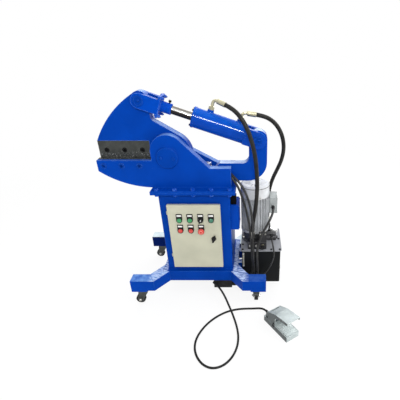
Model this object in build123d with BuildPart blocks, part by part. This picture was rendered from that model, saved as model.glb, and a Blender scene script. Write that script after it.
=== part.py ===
from build123d import *
import os
from math import cos, hypot, pi, radians, sin, tan

# Hydraulic scrap shear on a wheeled stand, in millimetres.
# The origin is on the floor under the middle of the column, +X runs from the jaw to the pump
# unit, +Y runs from the control door to the back, and the jaw is shown closed.

# Column, flanges and stand
COLUMN_W = 362
COLUMN_D = 290
COLUMN_H = 470
COLUMN_WALL = 5
FLANGE_T = 10
FLANGE_OVERHANG = 30
FLANGE_BOLT_D = 12
FLANGE_BOLT_ACROSS = 19
FLANGE_HEAD_H = 8
FLANGE_NUT_H = 10
FLANGE_EDGE = 2
FLANGE_BOLT_COUNT = 5
FLANGE_BOLT_PITCH = 91
BOLT_INSET = 15
BOLT_PLAY = 1
TUBE = 64
TUBE_WALL = 5
BASE_W = 420
BASE_D = 340
CABLE_INLET_D = 26
CABLE_INLET_Z = 236

# Legs and casters
FOOT_END_X = 368
CASTER_X = 315
CASTER_Y = 228.5
KNEE_FRONT_X = 240
KNEE_BACK_X = 273
LEG_ROOT = 37
PAD_L = 84
PAD_T = 8
CASTER_H = 96
CASTER_TRAIL = 21
WHEEL_D = 52
WHEEL_W = 22
WHEEL_HUB_D = 24
WHEEL_PLAY = 2
AXLE_D = 10
STEM_D = 14
FORK_T = 4
FORK_CAP_D = 56
FORK_CAP_T = 12
FORK_EYE_R = 12
FORK_NECK = 50
AXLE_PROUD = 3
WHEEL_EDGE_R = 3
WHEEL_RIM = 8
WHEEL_DISH = 4
RUNNING_GAP = 0.05
CASTER_GAP = 0.6

# Shear body
BODY_Y = -57
JAW_SLOT = 50
JAW_SIDE_GAP = 0.4
SIDE_PLATE_T = 40
PIVOT_X = -115
PIVOT_Z = 813
PIVOT_D = 70
PIVOT_HEAD_D = 102
PIVOT_HEAD_T = 12
EAR_X = -112
EAR_Z = 840
EAR_R = 83
REAR_EAR_R = 62
BODY_RIGHT_X = 189
BODY_STEP_X = 85
REAR_STEP_X = 115
BODY_STEP_H = 100
JAW_TIP_X = -462
JAW_TIP_H = 54
CUT_Z = 799

# Upright that carries the back of the cylinder
REAR_PIN_X = 323
REAR_PIN_Z = 889
UPRIGHT_R = 45
BAR_TOP_Z = 771
BAR_BOTTOM_Z = 679
BAR_CORNER_R = 95
BAR_INNER_R = 32
SLOT_FLOOR_Z = 735
SLOT_RISE_X = 95
HEEL_ROOM_X = 90
BAR_STEP_X = 200

# Blades
LOWER_BLADE_L = 266
LOWER_BLADE_H = 50
UPPER_BLADE_L = 250
UPPER_BLADE_H = 92
BLADE_T = 20
BLADE_PROUD = 3
BLADE_LAP = 9
BLADE_PITCH = 87
LOWER_BOLT_SET = -17
LOWER_BOLT_DROP = 6
BLADE_BOLT_D = 16
BLADE_HEAD_D = 25
BLADE_HEAD_H = 15
LOWER_HEAD_PROUD = 3
UPPER_HEAD_SUNK = 3
SOCKET_ACROSS = 14
SOCKET_DEPTH = 8
BLADE_SEAT_GAP = 0.3

# Upper jaw
CLEVIS_X = -221
CLEVIS_Z = 1072
JAW_EYE_R = 40
JAW_EYE_PLAY = 2.2
JAW_HUB_R = 85
JAW_HEEL_R = 114
JAW_BACK_X = -181
JAW_BACK_Z = 985
JAW_FRONT_X = -454
JAW_BROW_H = 86
JAW_ARC_X = -338
JAW_ARC_Z = 1036
HEEL_TOP_DEG = 61
HEEL_LOW_DEG = -10

# Hydraulic cylinder, measured along its axis from the rear pin
BARREL_OD = 95
BORE = 80
BARREL_START = 64
BARREL_L = 252
END_CAP_T = 14
REAR_LUG_R = 40
LUG_T = 20
LUG_GAP = 0.5
REAR_PIN_D = 36
GLAND_OD = 100
GLAND_T = 12
GLAND_NOSE = 46
ROD_D = 40
PISTON_T = 32
PISTON_REST_GAP = 8
CLEVIS_PIN_D = 40
CLEVIS_R = 34
CLEVIS_REACH = 79
CLEVIS_BASE_T = 6
CLEVIS_FLANGE_T = 10
CLEVIS_FLANGE_H = 100
SLEEVE_D = 51
SLEEVE_L = 50
ROD_SEAT = 40
PORT_D = 30
PORT_H = 12
PORT_FRONT = 253
PORT_REAR = 108
NUT_D = 30
NUT_L = 16
ELBOW_D = 15
ELBOW_RISE = {"front": 60, "rear": 46}
ELBOW_R = 17
FERRULE_D = 25
FERRULE_L = 42
ELBOW_RUN = 22
FRONT_HOSE_DIR = (0.85, -0.42, -0.32)
REAR_HOSE_DIR = (0.97, 0.16, -0.18)

# Control box
DOOR_X = -5
DOOR_Z = 388
DOOR_W = 272
DOOR_H = 385
DOOR_T = 16
DOOR_SKIN = 2
DOOR_GAP = 1
BOX_LIP = 4
BOX_PROUD = 6
BOX_DEPTH = 180
BOX_SKIN = 2
DOOR_EDGE_R = 3
HINGE_D = 9
HINGE_L = 18
HINGE_OUT = 4.6
HINGE_CLEAR = 0.5
HINGE_LIFT = 0.6
HINGE_PIN_D = 4
HINGE_PIN_L = 14
HINGE_SPAN = 262
BUTTON_PITCH_X = 54.5
BUTTON_PITCH_Z = 62
BUTTON_LEFT_INSET = 59
BUTTON_TOP_INSET = 84.5
BUTTON_CAP_D = 23
BUTTON_STAND = 10
CAP_T = 4.5
BUTTON_STEM_D = 12
BUTTON_TRAVEL = 4
BEZEL_D = 30
BEZEL_H = 7
LEGEND_W = 31
LEGEND_UP = 34
LEGEND_T = 2.5
MUSHROOM_D = 33
MUSHROOM_H = 18
SELECTOR_D = 26
SELECTOR_H = 20
SELECTOR_GRIP = 9
SELECTOR_TILT = 60
LOCK_RIGHT_INSET = 42
LOCK_DROP = 6
LOCK_D = 40
LOCK_H = 12
LOCK_WING = 11
LOCK_TILT = 72
SWITCH_BODY_L = 34
STEM_GAP = 0.25
GEAR_PLATE_W = 226
GEAR_PLATE_H = 330
GEAR_PLATE_T = 3
RAIL_H = 35
RAIL_T = 8
RAIL_INSET = 10
RAIL_UP = 70
RAIL_DOWN = 110
CONTACTOR_W = 45
CONTACTOR_H = 78
CONTACTOR_XS = (-62, -8)
BREAKER_W = 54
BREAKER_H = 84
BREAKER_X = 60
TERMINAL_ROW_W = 160
TERMINAL_ROW_H = 46
TERMINAL_ROW_X = -20
GEAR_DEPTH = 52

# Pump unit
TANK_GAP = 24
TANK_W = 218
TANK_D = 236
TANK_H = 216
TANK_Z = 54
TANK_WALL = 3
TANK_CORNER_R = 8
COVER_T = 6
COVER_RIM = 6
BRACKET_H = 50
BRACKET_L = 40
MOTOR_SET_LEFT = 35
MOTOR_Y = 25
MOTOR_D = 158
MOTOR_CORE_D = 140
MOTOR_H = 200
FIN_COUNT = 28
FIN_T = 3
BELL_D = 130
BELL_H = 66
BELL_FOOT_D = 154
BELL_FOOT_T = 10
WINDOW_W = 44
WINDOW_DEPTH = 40
WINDOW_SILL = 20
WINDOW_LINTEL = 12
MOTOR_FLANGE_D = 160
MOTOR_FLANGE_T = 12
FAN_COVER_H = 72
FAN_COVER_WALL = 2
FAN_EDGE_R = 12
FAN_LIP_T = 3
GRILLE_R = 44
GRILLE_SLOT_L = 34
GRILLE_SLOT_W = 5
GRILLE_SLOTS = 16
TERMINAL_W = 40
TERMINAL_D = 90
TERMINAL_H = 96
TERMINAL_SEAT = 30
TERMINAL_RIM = 8
TERMINAL_RISE = 111
GLAND_RISE = 45
PUMP_D = 84
PUMP_L = 120
PUMP_CORNER_R = 16
INTAKE_D = 32
INTAKE_L = 50
INTAKE_SET = 20
FILLER_SET_RIGHT = 75
FILLER_Y = 30
FILLER_D = 30
FILLER_H = 34
FILLER_CAP_D = 46
FILLER_CAP_H = 26
FILLER_CAP_R = 5
BLOCK_SET_LEFT = 75
BLOCK_W = 104
BLOCK_Y = -86
BLOCK_D = 46
BLOCK_H = 44
BLOCK_PORT_INSET = 26
VALVE_W = 42
VALVE_H = 46
COIL_D = 38
COIL_L = 52
COIL_PLUG_W = 28
REAR_PORT_SET_RIGHT = 41
REAR_PORT_Y = 96
REAR_BLOCK_W = 36

# Cable box under the base, junction box on the column
DUCT_X0 = 72
DUCT_X1 = 175
DUCT_Y0 = -165
DUCT_D = 90
DUCT_H = 56
GLAND_D = 18
GLAND_L = 16
GLAND_INSET = 13
GLAND_FIRST_Z = 16
GLAND_PITCH_Y = 20
GLAND_PITCH_Z = 22
CORD_EXIT_DIR = (0.62, -0.78, -0.08)
JUNCTION_W = 41
JUNCTION_D = 110
JUNCTION_H = 145
JUNCTION_Z = 415
JUNCTION_INSET = 18
OUTLET_H = 44
OUTLET_W = 29
OUTLET_D = 46
OUTLET_INSET = 30

# Cords
HOSE_D = 21
HOSE_LEAD = 42
CABLE_D = 12
MOTOR_CABLE_D = 13
VALVE_CABLE_D = 9
CABLE_SET_IN = 4
CORD_LIFT = 0.1
PEDAL_CORD_D = 11
CORD_LEAD = 34
PEDAL_LEAD = 30
MOTOR_LEAD = 40
VALVE_LEAD = 38

# Foot pedal, placed at its back edge and turned towards the operator
PEDAL_X = 388
PEDAL_Y = -348
PEDAL_DEG = -55
PEDAL_L = 188
PEDAL_W = 80
PEDAL_H = 32
PEDAL_FLOOR_T = 6
PEDAL_WALL = 4
HOOD_BACK = 18
HOOD_BACK_H = 63
HOOD_LEAN = 15
HOOD_SHOULDER_H = 83
HOOD_WALL_END = 93
HOOD_MID_H = 110
HOOD_FRONT_H = 126
HOOD_WALL = 4
VISOR_LIP = 17
SLOT_L = 50
SLOT_H = 11
SWITCH_L = 36
SWITCH_W = 40
SWITCH_H = 38
TREADLE_PIVOT = 80
TREADLE_PIN_D = 8
TREADLE_T = 6
TREADLE_Z = 25
TREADLE_GAP = 1.5

os.makedirs("parts", exist_ok=True)

# Heights and faces that follow from the sizes above
base_bottom = CASTER_H + PAD_T
base_top = base_bottom + TUBE
column_top = base_top + COLUMN_H
body_bottom = column_top + 2 * FLANGE_T
slot_front = BODY_Y - JAW_SLOT / 2
slot_back = BODY_Y + JAW_SLOT / 2
body_front = slot_front - SIDE_PLATE_T
body_back = slot_back + SIDE_PLATE_T
jaw_t = JAW_SLOT - 2 * JAW_SIDE_GAP
jaw_front = BODY_Y - jaw_t / 2
jaw_back = BODY_Y + jaw_t / 2
column_front = -COLUMN_D / 2
pin_span = hypot(CLEVIS_X - REAR_PIN_X, CLEVIS_Z - REAR_PIN_Z)
axis_x = (CLEVIS_X - REAR_PIN_X) / pin_span
axis_z = (CLEVIS_Z - REAR_PIN_Z) / pin_span
lug_inner = JAW_SLOT / 2 + LUG_GAP
lug_outer = lug_inner + LUG_T
tank_x = BASE_W / 2 + TANK_GAP + TANK_W / 2
motor_x = tank_x - MOTOR_SET_LEFT
filler_x = tank_x + FILLER_SET_RIGHT
block_x0 = tank_x - BLOCK_SET_LEFT
block_x1 = block_x0 + BLOCK_W
block_port_x = block_x0 + BLOCK_PORT_INSET
rear_port_x = tank_x + REAR_PORT_SET_RIGHT
hinge_x = DOOR_X - DOOR_W / 2 - HINGE_OUT
hinge_y = column_front - HINGE_CLEAR - HINGE_D / 2
hinge_leaf = HINGE_D / 2 + HINGE_CLEAR + COLUMN_WALL / 2
hinge_zs = (DOOR_Z - HINGE_SPAN / 2, DOOR_Z + HINGE_SPAN / 2)


def facing(y):
    """Plane that faces the front at depth y, with X to the right and Z up."""
    return Plane(origin=(0, y, 0), x_dir=(1, 0, 0), z_dir=(0, -1, 0))


def along(start, direction, side=(0, 1, 0)):
    """Plane at start whose normal runs along direction."""
    return Plane(origin=start, x_dir=side, z_dir=direction)


def save(piece, name):
    """Label a finished piece and write it to its own file."""
    piece.part.label = name
    export_step(piece.part, f"parts/{name}.step")


def hex_bolt(across, head_h, shank_d, grip, nut_h):
    """Hex bolt with its nut, head up, with the grip below the head starting at height 0."""
    with BuildPart() as bolt:
        with BuildSketch():
            RegularPolygon(across / 2, 6, major_radius=False)
        extrude(amount=head_h)
        with BuildSketch():
            Circle(shank_d / 2)
        extrude(amount=-(grip + nut_h))
        with BuildSketch(Plane.XY.offset(-grip)):
            RegularPolygon(across / 2, 6, major_radius=False)
        extrude(amount=-nut_h)
    return bolt.part


# Column: folded box with a front opening for the control box, a welded top flange and hinge pins
box_w = DOOR_W - 2 * BOX_LIP
box_h = DOOR_H - 2 * BOX_LIP
flange_w = COLUMN_W + 2 * FLANGE_OVERHANG
flange_d = COLUMN_D + 2 * FLANGE_OVERHANG
bolt_y = COLUMN_D / 2 + BOLT_INSET
with BuildPart() as column:
    with BuildSketch(Plane.XY.offset(base_top)):
        Rectangle(COLUMN_W, COLUMN_D)
        Rectangle(COLUMN_W - 2 * COLUMN_WALL, COLUMN_D - 2 * COLUMN_WALL, mode=Mode.SUBTRACT)
    extrude(amount=COLUMN_H)
    fillet(column.edges().filter_by(Axis.Z).group_by(SortBy.LENGTH)[-1]
           .filter_by(lambda e: abs(e.center().X) > COLUMN_W / 2 - 1), COLUMN_WALL)
    with BuildSketch(Plane.XY.offset(column_top)):
        Rectangle(flange_w, flange_d)
        Rectangle(COLUMN_W - 4 * COLUMN_WALL, COLUMN_D - 4 * COLUMN_WALL, mode=Mode.SUBTRACT)
        with GridLocations(FLANGE_BOLT_PITCH, 2 * bolt_y, FLANGE_BOLT_COUNT, 2):
            Circle((FLANGE_BOLT_D + BOLT_PLAY) / 2, mode=Mode.SUBTRACT)
    extrude(amount=FLANGE_T)
    with BuildSketch(facing(column_front + COLUMN_WALL)):
        with Locations((DOOR_X, DOOR_Z)):
            Rectangle(box_w, box_h)
    extrude(amount=COLUMN_WALL, mode=Mode.SUBTRACT)
    with BuildSketch(facing(-column_front)):
        with Locations((0, CABLE_INLET_Z)):
            Circle(CABLE_INLET_D / 2)
    extrude(amount=COLUMN_WALL, mode=Mode.SUBTRACT)
    for hinge_z in hinge_zs:
        with BuildSketch(Plane.XY.offset(hinge_z - HINGE_L)):
            with Locations((hinge_x, hinge_y)):
                Circle(HINGE_D / 2)
                Rectangle(HINGE_D, hinge_leaf, align=(Align.CENTER, Align.MIN))
        extrude(amount=HINGE_L)
        with BuildSketch(Plane.XY.offset(hinge_z)):
            with Locations((hinge_x, hinge_y)):
                Circle(HINGE_PIN_D / 2)
        extrude(amount=HINGE_PIN_L)
save(column, "column")

# Flange plate under the shear body, and the bolts through both flanges
with BuildPart() as body_flange:
    with BuildSketch(Plane.XY.offset(column_top + FLANGE_T)):
        Rectangle(flange_w, flange_d)
        with GridLocations(FLANGE_BOLT_PITCH, 2 * bolt_y, FLANGE_BOLT_COUNT, 2):
            Circle((FLANGE_BOLT_D + BOLT_PLAY) / 2, mode=Mode.SUBTRACT)
    extrude(amount=FLANGE_T)
    chamfer(body_flange.faces().sort_by(Axis.Z)[-1].outer_wire().edges(), FLANGE_EDGE)
save(body_flange, "body_flange")

flange_bolt = hex_bolt(FLANGE_BOLT_ACROSS, FLANGE_HEAD_H, FLANGE_BOLT_D, 2 * FLANGE_T, FLANGE_NUT_H)
with BuildPart(Plane.XY.offset(body_bottom)) as flange_bolts:
    with GridLocations(FLANGE_BOLT_PITCH, 2 * bolt_y, FLANGE_BOLT_COUNT, 2):
        add(flange_bolt)
save(flange_bolts, "flange_bolts")

# Base: ring of square tube, whose side beams have closed ends
with BuildPart() as base_beams:
    with BuildSketch(Plane.YZ.offset(BASE_W / 2 - TUBE)):
        with Locations((-(BASE_D - TUBE) / 2, base_bottom + TUBE / 2),
                       ((BASE_D - TUBE) / 2, base_bottom + TUBE / 2)):
            Rectangle(TUBE, TUBE)
            Rectangle(TUBE - 2 * TUBE_WALL, TUBE - 2 * TUBE_WALL, mode=Mode.SUBTRACT)
    extrude(amount=-(BASE_W - 2 * TUBE))
base_cross = base_beams.part
with BuildPart() as side_beams:
    with BuildSketch(Plane.XZ.offset(BASE_D / 2)):
        with Locations((-(BASE_W - TUBE) / 2, base_bottom + TUBE / 2),
                       ((BASE_W - TUBE) / 2, base_bottom + TUBE / 2)):
            Rectangle(TUBE, TUBE)
    extrude(amount=-BASE_D)
    with BuildSketch(Plane.XZ.offset(BASE_D / 2 - TUBE_WALL)):
        with Locations((-(BASE_W - TUBE) / 2, base_bottom + TUBE / 2),
                       ((BASE_W - TUBE) / 2, base_bottom + TUBE / 2)):
            Rectangle(TUBE - 2 * TUBE_WALL, TUBE - 2 * TUBE_WALL)
    extrude(amount=-(BASE_D - 2 * TUBE_WALL), mode=Mode.SUBTRACT)
    with BuildSketch(Plane.YZ.offset(BASE_W / 2)):
        with Locations((-TANK_D / 4, base_bottom + TUBE / 2), (TANK_D / 4, base_bottom + TUBE / 2)):
            Rectangle(BRACKET_L, BRACKET_H)
    extrude(amount=TANK_GAP)
with BuildPart() as base_ring:
    add(base_cross)
    add(side_beams.part)
save(base_ring, "base_beams")


# Legs: splayed from the ring's corners and ending in flat feet with caster pads
def leg_outline(grow):
    """Plan of the front left leg, drawn in or out by grow on its free sides."""
    half = TUBE / 2 + grow
    Polyline(
        (-(BASE_W / 2 - LEG_ROOT) + grow, -BASE_D / 2),
        (-BASE_W / 2, -BASE_D / 2),
        (-BASE_W / 2, -(BASE_D / 2 - TUBE) + grow),
        (-KNEE_BACK_X, -CASTER_Y + half),
        (-FOOT_END_X - grow, -CASTER_Y + half),
        (-FOOT_END_X - grow, -CASTER_Y - half),
        (-KNEE_FRONT_X, -CASTER_Y - half),
        close=True,
    )


with BuildPart() as leg:
    with BuildSketch(Plane.XY.offset(base_bottom)):
        with BuildLine():
            leg_outline(0)
        make_face()
    extrude(amount=TUBE)
    with BuildSketch(Plane.XY.offset(base_bottom + TUBE_WALL)):
        with BuildLine():
            leg_outline(-TUBE_WALL)
        make_face()
    extrude(amount=TUBE - 2 * TUBE_WALL, mode=Mode.SUBTRACT)
    with BuildSketch(Plane.XY.offset(CASTER_H)):
        with Locations((-FOOT_END_X + PAD_L / 2, -CASTER_Y)):
            Rectangle(PAD_L, TUBE)
        with Locations((-CASTER_X, -CASTER_Y)):
            Circle(STEM_D / 2 + RUNNING_GAP, mode=Mode.SUBTRACT)
    extrude(amount=PAD_T)
    with BuildSketch(Plane.XY.offset(base_bottom)):
        with Locations((-CASTER_X, -CASTER_Y)):
            Circle(STEM_D / 2 + RUNNING_GAP)
    extrude(amount=TUBE_WALL, mode=Mode.SUBTRACT)
with BuildPart() as front_legs:
    add(leg.part)
    mirror(leg.part, about=Plane.YZ)
save(front_legs, "front_legs")
with BuildPart() as rear_legs:
    mirror(front_legs.part, about=Plane.XZ)
save(rear_legs, "rear_legs")

# Casters: swivel fork with its stem, and a wheel turning on the fork's axle
fork_gap = WHEEL_W + 2 * WHEEL_PLAY
fork_top = CASTER_H - CASTER_GAP
with BuildPart() as fork:
    with BuildSketch(Plane.XY.offset(fork_top)):
        Circle(FORK_CAP_D / 2)
    extrude(amount=-FORK_CAP_T)
    with BuildSketch(Plane.XY.offset(fork_top)):
        Circle(STEM_D / 2)
    extrude(amount=CASTER_GAP + PAD_T + TUBE_WALL + 1)
    with BuildSketch(facing(fork_gap / 2 + FORK_T)):
        with Locations((-CASTER_TRAIL, WHEEL_D / 2)):
            Circle(FORK_EYE_R)
        with Locations((0, fork_top - FORK_CAP_T - FORK_T)):
            Rectangle(FORK_NECK, 2 * FORK_T)
        make_hull()
    extrude(amount=fork_gap + 2 * FORK_T)
    with BuildSketch(facing(fork_gap / 2)):
        with Locations((-CASTER_TRAIL, WHEEL_D / 2)):
            Circle(WHEEL_D / 2 + WHEEL_PLAY)
            Rectangle(2 * WHEEL_D, WHEEL_D + 2 * WHEEL_PLAY, align=(Align.CENTER, Align.MAX))
    extrude(amount=fork_gap, mode=Mode.SUBTRACT)
    with BuildSketch(facing(fork_gap / 2 + FORK_T + AXLE_PROUD)):
        with Locations((-CASTER_TRAIL, WHEEL_D / 2)):
            Circle(AXLE_D / 2)
    extrude(amount=fork_gap + 2 * FORK_T + 2 * AXLE_PROUD)
with BuildPart() as wheel:
    with BuildSketch(facing(WHEEL_W / 2)):
        with Locations((-CASTER_TRAIL, WHEEL_D / 2)):
            Circle(WHEEL_D / 2)
    extrude(amount=WHEEL_W)
    fillet(wheel.edges().filter_by(GeomType.CIRCLE), WHEEL_EDGE_R)
    for face_y in (WHEEL_W / 2, -WHEEL_W / 2 + WHEEL_DISH):
        with BuildSketch(facing(face_y)):
            with Locations((-CASTER_TRAIL, WHEEL_D / 2)):
                Circle(WHEEL_D / 2 - WHEEL_RIM)
                Circle(WHEEL_HUB_D / 2, mode=Mode.SUBTRACT)
        extrude(amount=WHEEL_DISH, mode=Mode.SUBTRACT)
    with BuildSketch(facing(WHEEL_W / 2)):
        with Locations((-CASTER_TRAIL, WHEEL_D / 2)):
            Circle(AXLE_D / 2 + RUNNING_GAP)
    extrude(amount=WHEEL_W, mode=Mode.SUBTRACT)

# Each caster stands at the heading that it was left at
caster_places = {
    "front_left": (-CASTER_X, -CASTER_Y, 0),
    "rear_left": (-CASTER_X, CASTER_Y, 0),
    "front_right": (CASTER_X, -CASTER_Y, 270),
    "rear_right": (CASTER_X, CASTER_Y, 70),
}
for corner, (caster_x, caster_y, heading) in caster_places.items():
    place = Plane(origin=(caster_x, caster_y, 0), x_dir=(cos(radians(heading)), sin(radians(heading)), 0))
    with BuildPart(place) as placed_fork:
        add(fork.part)
    save(placed_fork, f"caster_fork_{corner}")
    with BuildPart(place) as placed_wheel:
        add(wheel.part)
    save(placed_wheel, f"caster_wheel_{corner}")


# Shear body: two side plates with ears, the front one higher and reaching out as the lower jaw
def body_outline(ear_at, ear_r, step_x):
    """Side plate with its rounded ear, sloping shoulder and low step, as a flat outline."""
    with BuildSketch() as outline:
        with Locations(ear_at):
            Circle(ear_r)
        with Locations((EAR_X - EAR_R, body_bottom)):
            Rectangle(step_x - EAR_X + EAR_R, BODY_STEP_H, align=(Align.MIN, Align.MIN))
        make_hull()
        with Locations((step_x, body_bottom)):
            Rectangle(BODY_RIGHT_X - step_x, BODY_STEP_H, align=(Align.MIN, Align.MIN))
        with Locations((PIVOT_X, PIVOT_Z)):
            Circle(PIVOT_D / 2 + RUNNING_GAP, mode=Mode.SUBTRACT)
    return outline.sketch


lower_blade_x = JAW_TIP_X + 2 + LOWER_BLADE_L / 2
lower_blade_z = CUT_Z + BLADE_PROUD - LOWER_BLADE_H / 2
upper_blade_x = JAW_FRONT_X + UPPER_BLADE_L / 2
upper_blade_z = CUT_Z + BLADE_PROUD - BLADE_LAP + UPPER_BLADE_H / 2
blade_bolt_xs = (-BLADE_PITCH, 0, BLADE_PITCH)
lower_bolts = [(lower_blade_x + LOWER_BOLT_SET + x, lower_blade_z - LOWER_BOLT_DROP) for x in blade_bolt_xs]
upper_bolts = [(upper_blade_x + x, upper_blade_z) for x in blade_bolt_xs]
with BuildPart() as lower_jaw_plate:
    with BuildSketch(facing(slot_front)):
        add(body_outline((EAR_X, EAR_Z), EAR_R, BODY_STEP_X))
        with BuildLine():
            arm_tip = Line((JAW_TIP_X, CUT_Z), (JAW_TIP_X, CUT_Z - JAW_TIP_H))
            arm_belly = TangentArc((EAR_X - EAR_R, body_bottom), arm_tip @ 1, tangent=(-1, 0))
            Polyline(arm_belly @ 0, (EAR_X - EAR_R, CUT_Z), arm_tip @ 0)
        make_face()
    extrude(amount=SIDE_PLATE_T)
    with BuildSketch(facing(slot_front)):
        with Locations((lower_blade_x, lower_blade_z)):
            Rectangle(LOWER_BLADE_L + 2 * BLADE_SEAT_GAP, LOWER_BLADE_H + 2 * BLADE_SEAT_GAP)
    extrude(amount=BLADE_T, mode=Mode.SUBTRACT)
    with BuildSketch(facing(slot_front)):
        with Locations(*lower_bolts):
            Circle(BLADE_BOLT_D / 2 + BLADE_SEAT_GAP)
    extrude(amount=SIDE_PLATE_T, mode=Mode.SUBTRACT)
    with BuildSketch(facing(body_front + BLADE_HEAD_H - LOWER_HEAD_PROUD)):
        with Locations(*lower_bolts):
            Circle(BLADE_HEAD_D / 2 + BLADE_SEAT_GAP)
    extrude(amount=BLADE_HEAD_H, mode=Mode.SUBTRACT)
save(lower_jaw_plate, "lower_jaw_plate")

with BuildPart() as rear_body_plate:
    with BuildSketch(facing(body_back)):
        add(body_outline((PIVOT_X, PIVOT_Z), REAR_EAR_R, REAR_STEP_X))
    extrude(amount=SIDE_PLATE_T)
save(rear_body_plate, "rear_body_plate")


# Blades: plain bars with a row of bolt holes
def blade(centre_x, centre_z, length, height, back_y, bolts):
    """Blade bar with its near face one blade thickness in front of back_y."""
    with BuildPart() as bar:
        with BuildSketch(facing(back_y)):
            with Locations((centre_x, centre_z)):
                Rectangle(length, height)
            with Locations(*bolts):
                Circle(BLADE_BOLT_D / 2 + BLADE_SEAT_GAP, mode=Mode.SUBTRACT)
        extrude(amount=BLADE_T)
    return bar.part


def socket_screw(head_y, length):
    """Socket head screw whose head's back face is at head_y, with its shank running back."""
    with BuildPart() as screw:
        with BuildSketch(facing(head_y)):
            Circle(BLADE_HEAD_D / 2)
        extrude(amount=BLADE_HEAD_H)
        with BuildSketch(facing(head_y - BLADE_HEAD_H + SOCKET_DEPTH)):
            RegularPolygon(SOCKET_ACROSS / 2, 6, major_radius=False)
        extrude(amount=SOCKET_DEPTH, mode=Mode.SUBTRACT)
        with BuildSketch(facing(head_y + length)):
            Circle(BLADE_BOLT_D / 2)
        extrude(amount=length)
    return screw.part


lower_bar = blade(lower_blade_x, lower_blade_z, LOWER_BLADE_L, LOWER_BLADE_H, slot_front, lower_bolts)
with BuildPart() as lower_blade:
    add(lower_bar)
save(lower_blade, "lower_blade")
lower_seat = body_front + BLADE_HEAD_H - LOWER_HEAD_PROUD
lower_screw = socket_screw(lower_seat, slot_front - lower_seat)
with BuildPart() as lower_blade_bolts:
    with Locations(*[(x, 0, z) for x, z in lower_bolts]):
        add(lower_screw)
save(lower_blade_bolts, "lower_blade_bolts")

# Middle plate: fills the slot behind the jaw and rises as the cylinder's upright
with BuildPart() as c_frame:
    with BuildSketch(facing(slot_back)):
        with BuildLine():
            Polyline(
                (PIVOT_X + HEEL_ROOM_X, body_bottom),
                (PIVOT_X + HEEL_ROOM_X, SLOT_FLOOR_Z),
                (SLOT_RISE_X, SLOT_FLOOR_Z),
                (SLOT_RISE_X + BAR_TOP_Z - SLOT_FLOOR_Z, BAR_TOP_Z),
                (REAR_PIN_X - UPRIGHT_R, BAR_TOP_Z),
                (REAR_PIN_X - UPRIGHT_R, REAR_PIN_Z),
                (REAR_PIN_X + UPRIGHT_R, REAR_PIN_Z),
                (REAR_PIN_X + UPRIGHT_R, BAR_BOTTOM_Z),
                (BAR_STEP_X, BAR_BOTTOM_Z),
                (BAR_STEP_X, body_bottom),
                close=True,
            )
        make_face()
        with Locations((REAR_PIN_X, REAR_PIN_Z)):
            Circle(UPRIGHT_R)
            Circle(REAR_PIN_D / 2 + RUNNING_GAP, mode=Mode.SUBTRACT)
    extrude(amount=JAW_SLOT)
    corner_edges = c_frame.edges().filter_by(Axis.Y)
    fillet(corner_edges.sort_by_distance((REAR_PIN_X - UPRIGHT_R, BODY_Y, BAR_TOP_Z))[0], BAR_INNER_R)
    corner_edges = c_frame.edges().filter_by(Axis.Y)
    fillet(corner_edges.sort_by_distance((REAR_PIN_X + UPRIGHT_R, BODY_Y, BAR_BOTTOM_Z))[0], BAR_CORNER_R)
save(c_frame, "c_frame")

# Pivot pin with its round head plate
with BuildPart() as pivot_pin:
    with BuildSketch(facing(body_back)):
        with Locations((PIVOT_X, PIVOT_Z)):
            Circle(PIVOT_D / 2)
    extrude(amount=body_back - body_front)
    with BuildSketch(facing(body_front)):
        with Locations((PIVOT_X, PIVOT_Z)):
            Circle(PIVOT_HEAD_D / 2)
    extrude(amount=PIVOT_HEAD_T)
    chamfer(pivot_pin.faces().sort_by(Axis.Y)[0].edges(), 2)
save(pivot_pin, "pivot_pin")

# Upper jaw: hub round the pivot, heel, brow and the eye that the clevis holds
seat_top = upper_blade_z + UPPER_BLADE_H / 2 + BLADE_SEAT_GAP
seat_right = upper_blade_x + UPPER_BLADE_L / 2 + BLADE_SEAT_GAP
with BuildPart() as upper_jaw:
    with BuildSketch(facing(jaw_back)):
        with BuildLine():
            brow = ThreePointArc(
                (JAW_FRONT_X, CUT_Z + JAW_BROW_H),
                (JAW_ARC_X, JAW_ARC_Z),
                (CLEVIS_X - 10, CLEVIS_Z + JAW_EYE_R - 1),
            )
            heel = CenterArc((PIVOT_X, PIVOT_Z), JAW_HEEL_R, HEEL_TOP_DEG, HEEL_LOW_DEG - HEEL_TOP_DEG)
            Polyline(brow @ 1, (CLEVIS_X, CLEVIS_Z), (JAW_BACK_X, CLEVIS_Z), (JAW_BACK_X, JAW_BACK_Z),
                     heel @ 0)
            Polyline(heel @ 1, (PIVOT_X, PIVOT_Z - JAW_HUB_R), (PIVOT_X - JAW_HUB_R, CUT_Z + 1),
                     (JAW_FRONT_X, CUT_Z + 1), brow @ 0)
        make_face()
        with Locations((PIVOT_X, PIVOT_Z)):
            Circle(JAW_HUB_R)
            Circle(PIVOT_D / 2 + RUNNING_GAP, mode=Mode.SUBTRACT)
        with Locations((CLEVIS_X, CLEVIS_Z)):
            Circle(JAW_EYE_R)
            Circle(CLEVIS_PIN_D / 2 + JAW_EYE_PLAY, mode=Mode.SUBTRACT)
    extrude(amount=jaw_t)
    neck = upper_jaw.edges().filter_by(Axis.Y).sort_by_distance((JAW_BACK_X, BODY_Y, JAW_BACK_Z))[0]
    fillet(neck, 20)
    with BuildSketch(facing(jaw_front + BLADE_T)):
        with Locations((seat_right, seat_top)):
            Rectangle(2 * UPPER_BLADE_L, 2 * UPPER_BLADE_H, align=(Align.MAX, Align.MAX))
    extrude(amount=BLADE_T, mode=Mode.SUBTRACT)
    with BuildSketch(facing(jaw_back)):
        with Locations(*upper_bolts):
            Circle(BLADE_BOLT_D / 2 + BLADE_SEAT_GAP)
    extrude(amount=jaw_t, mode=Mode.SUBTRACT)
save(upper_jaw, "upper_jaw")

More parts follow.
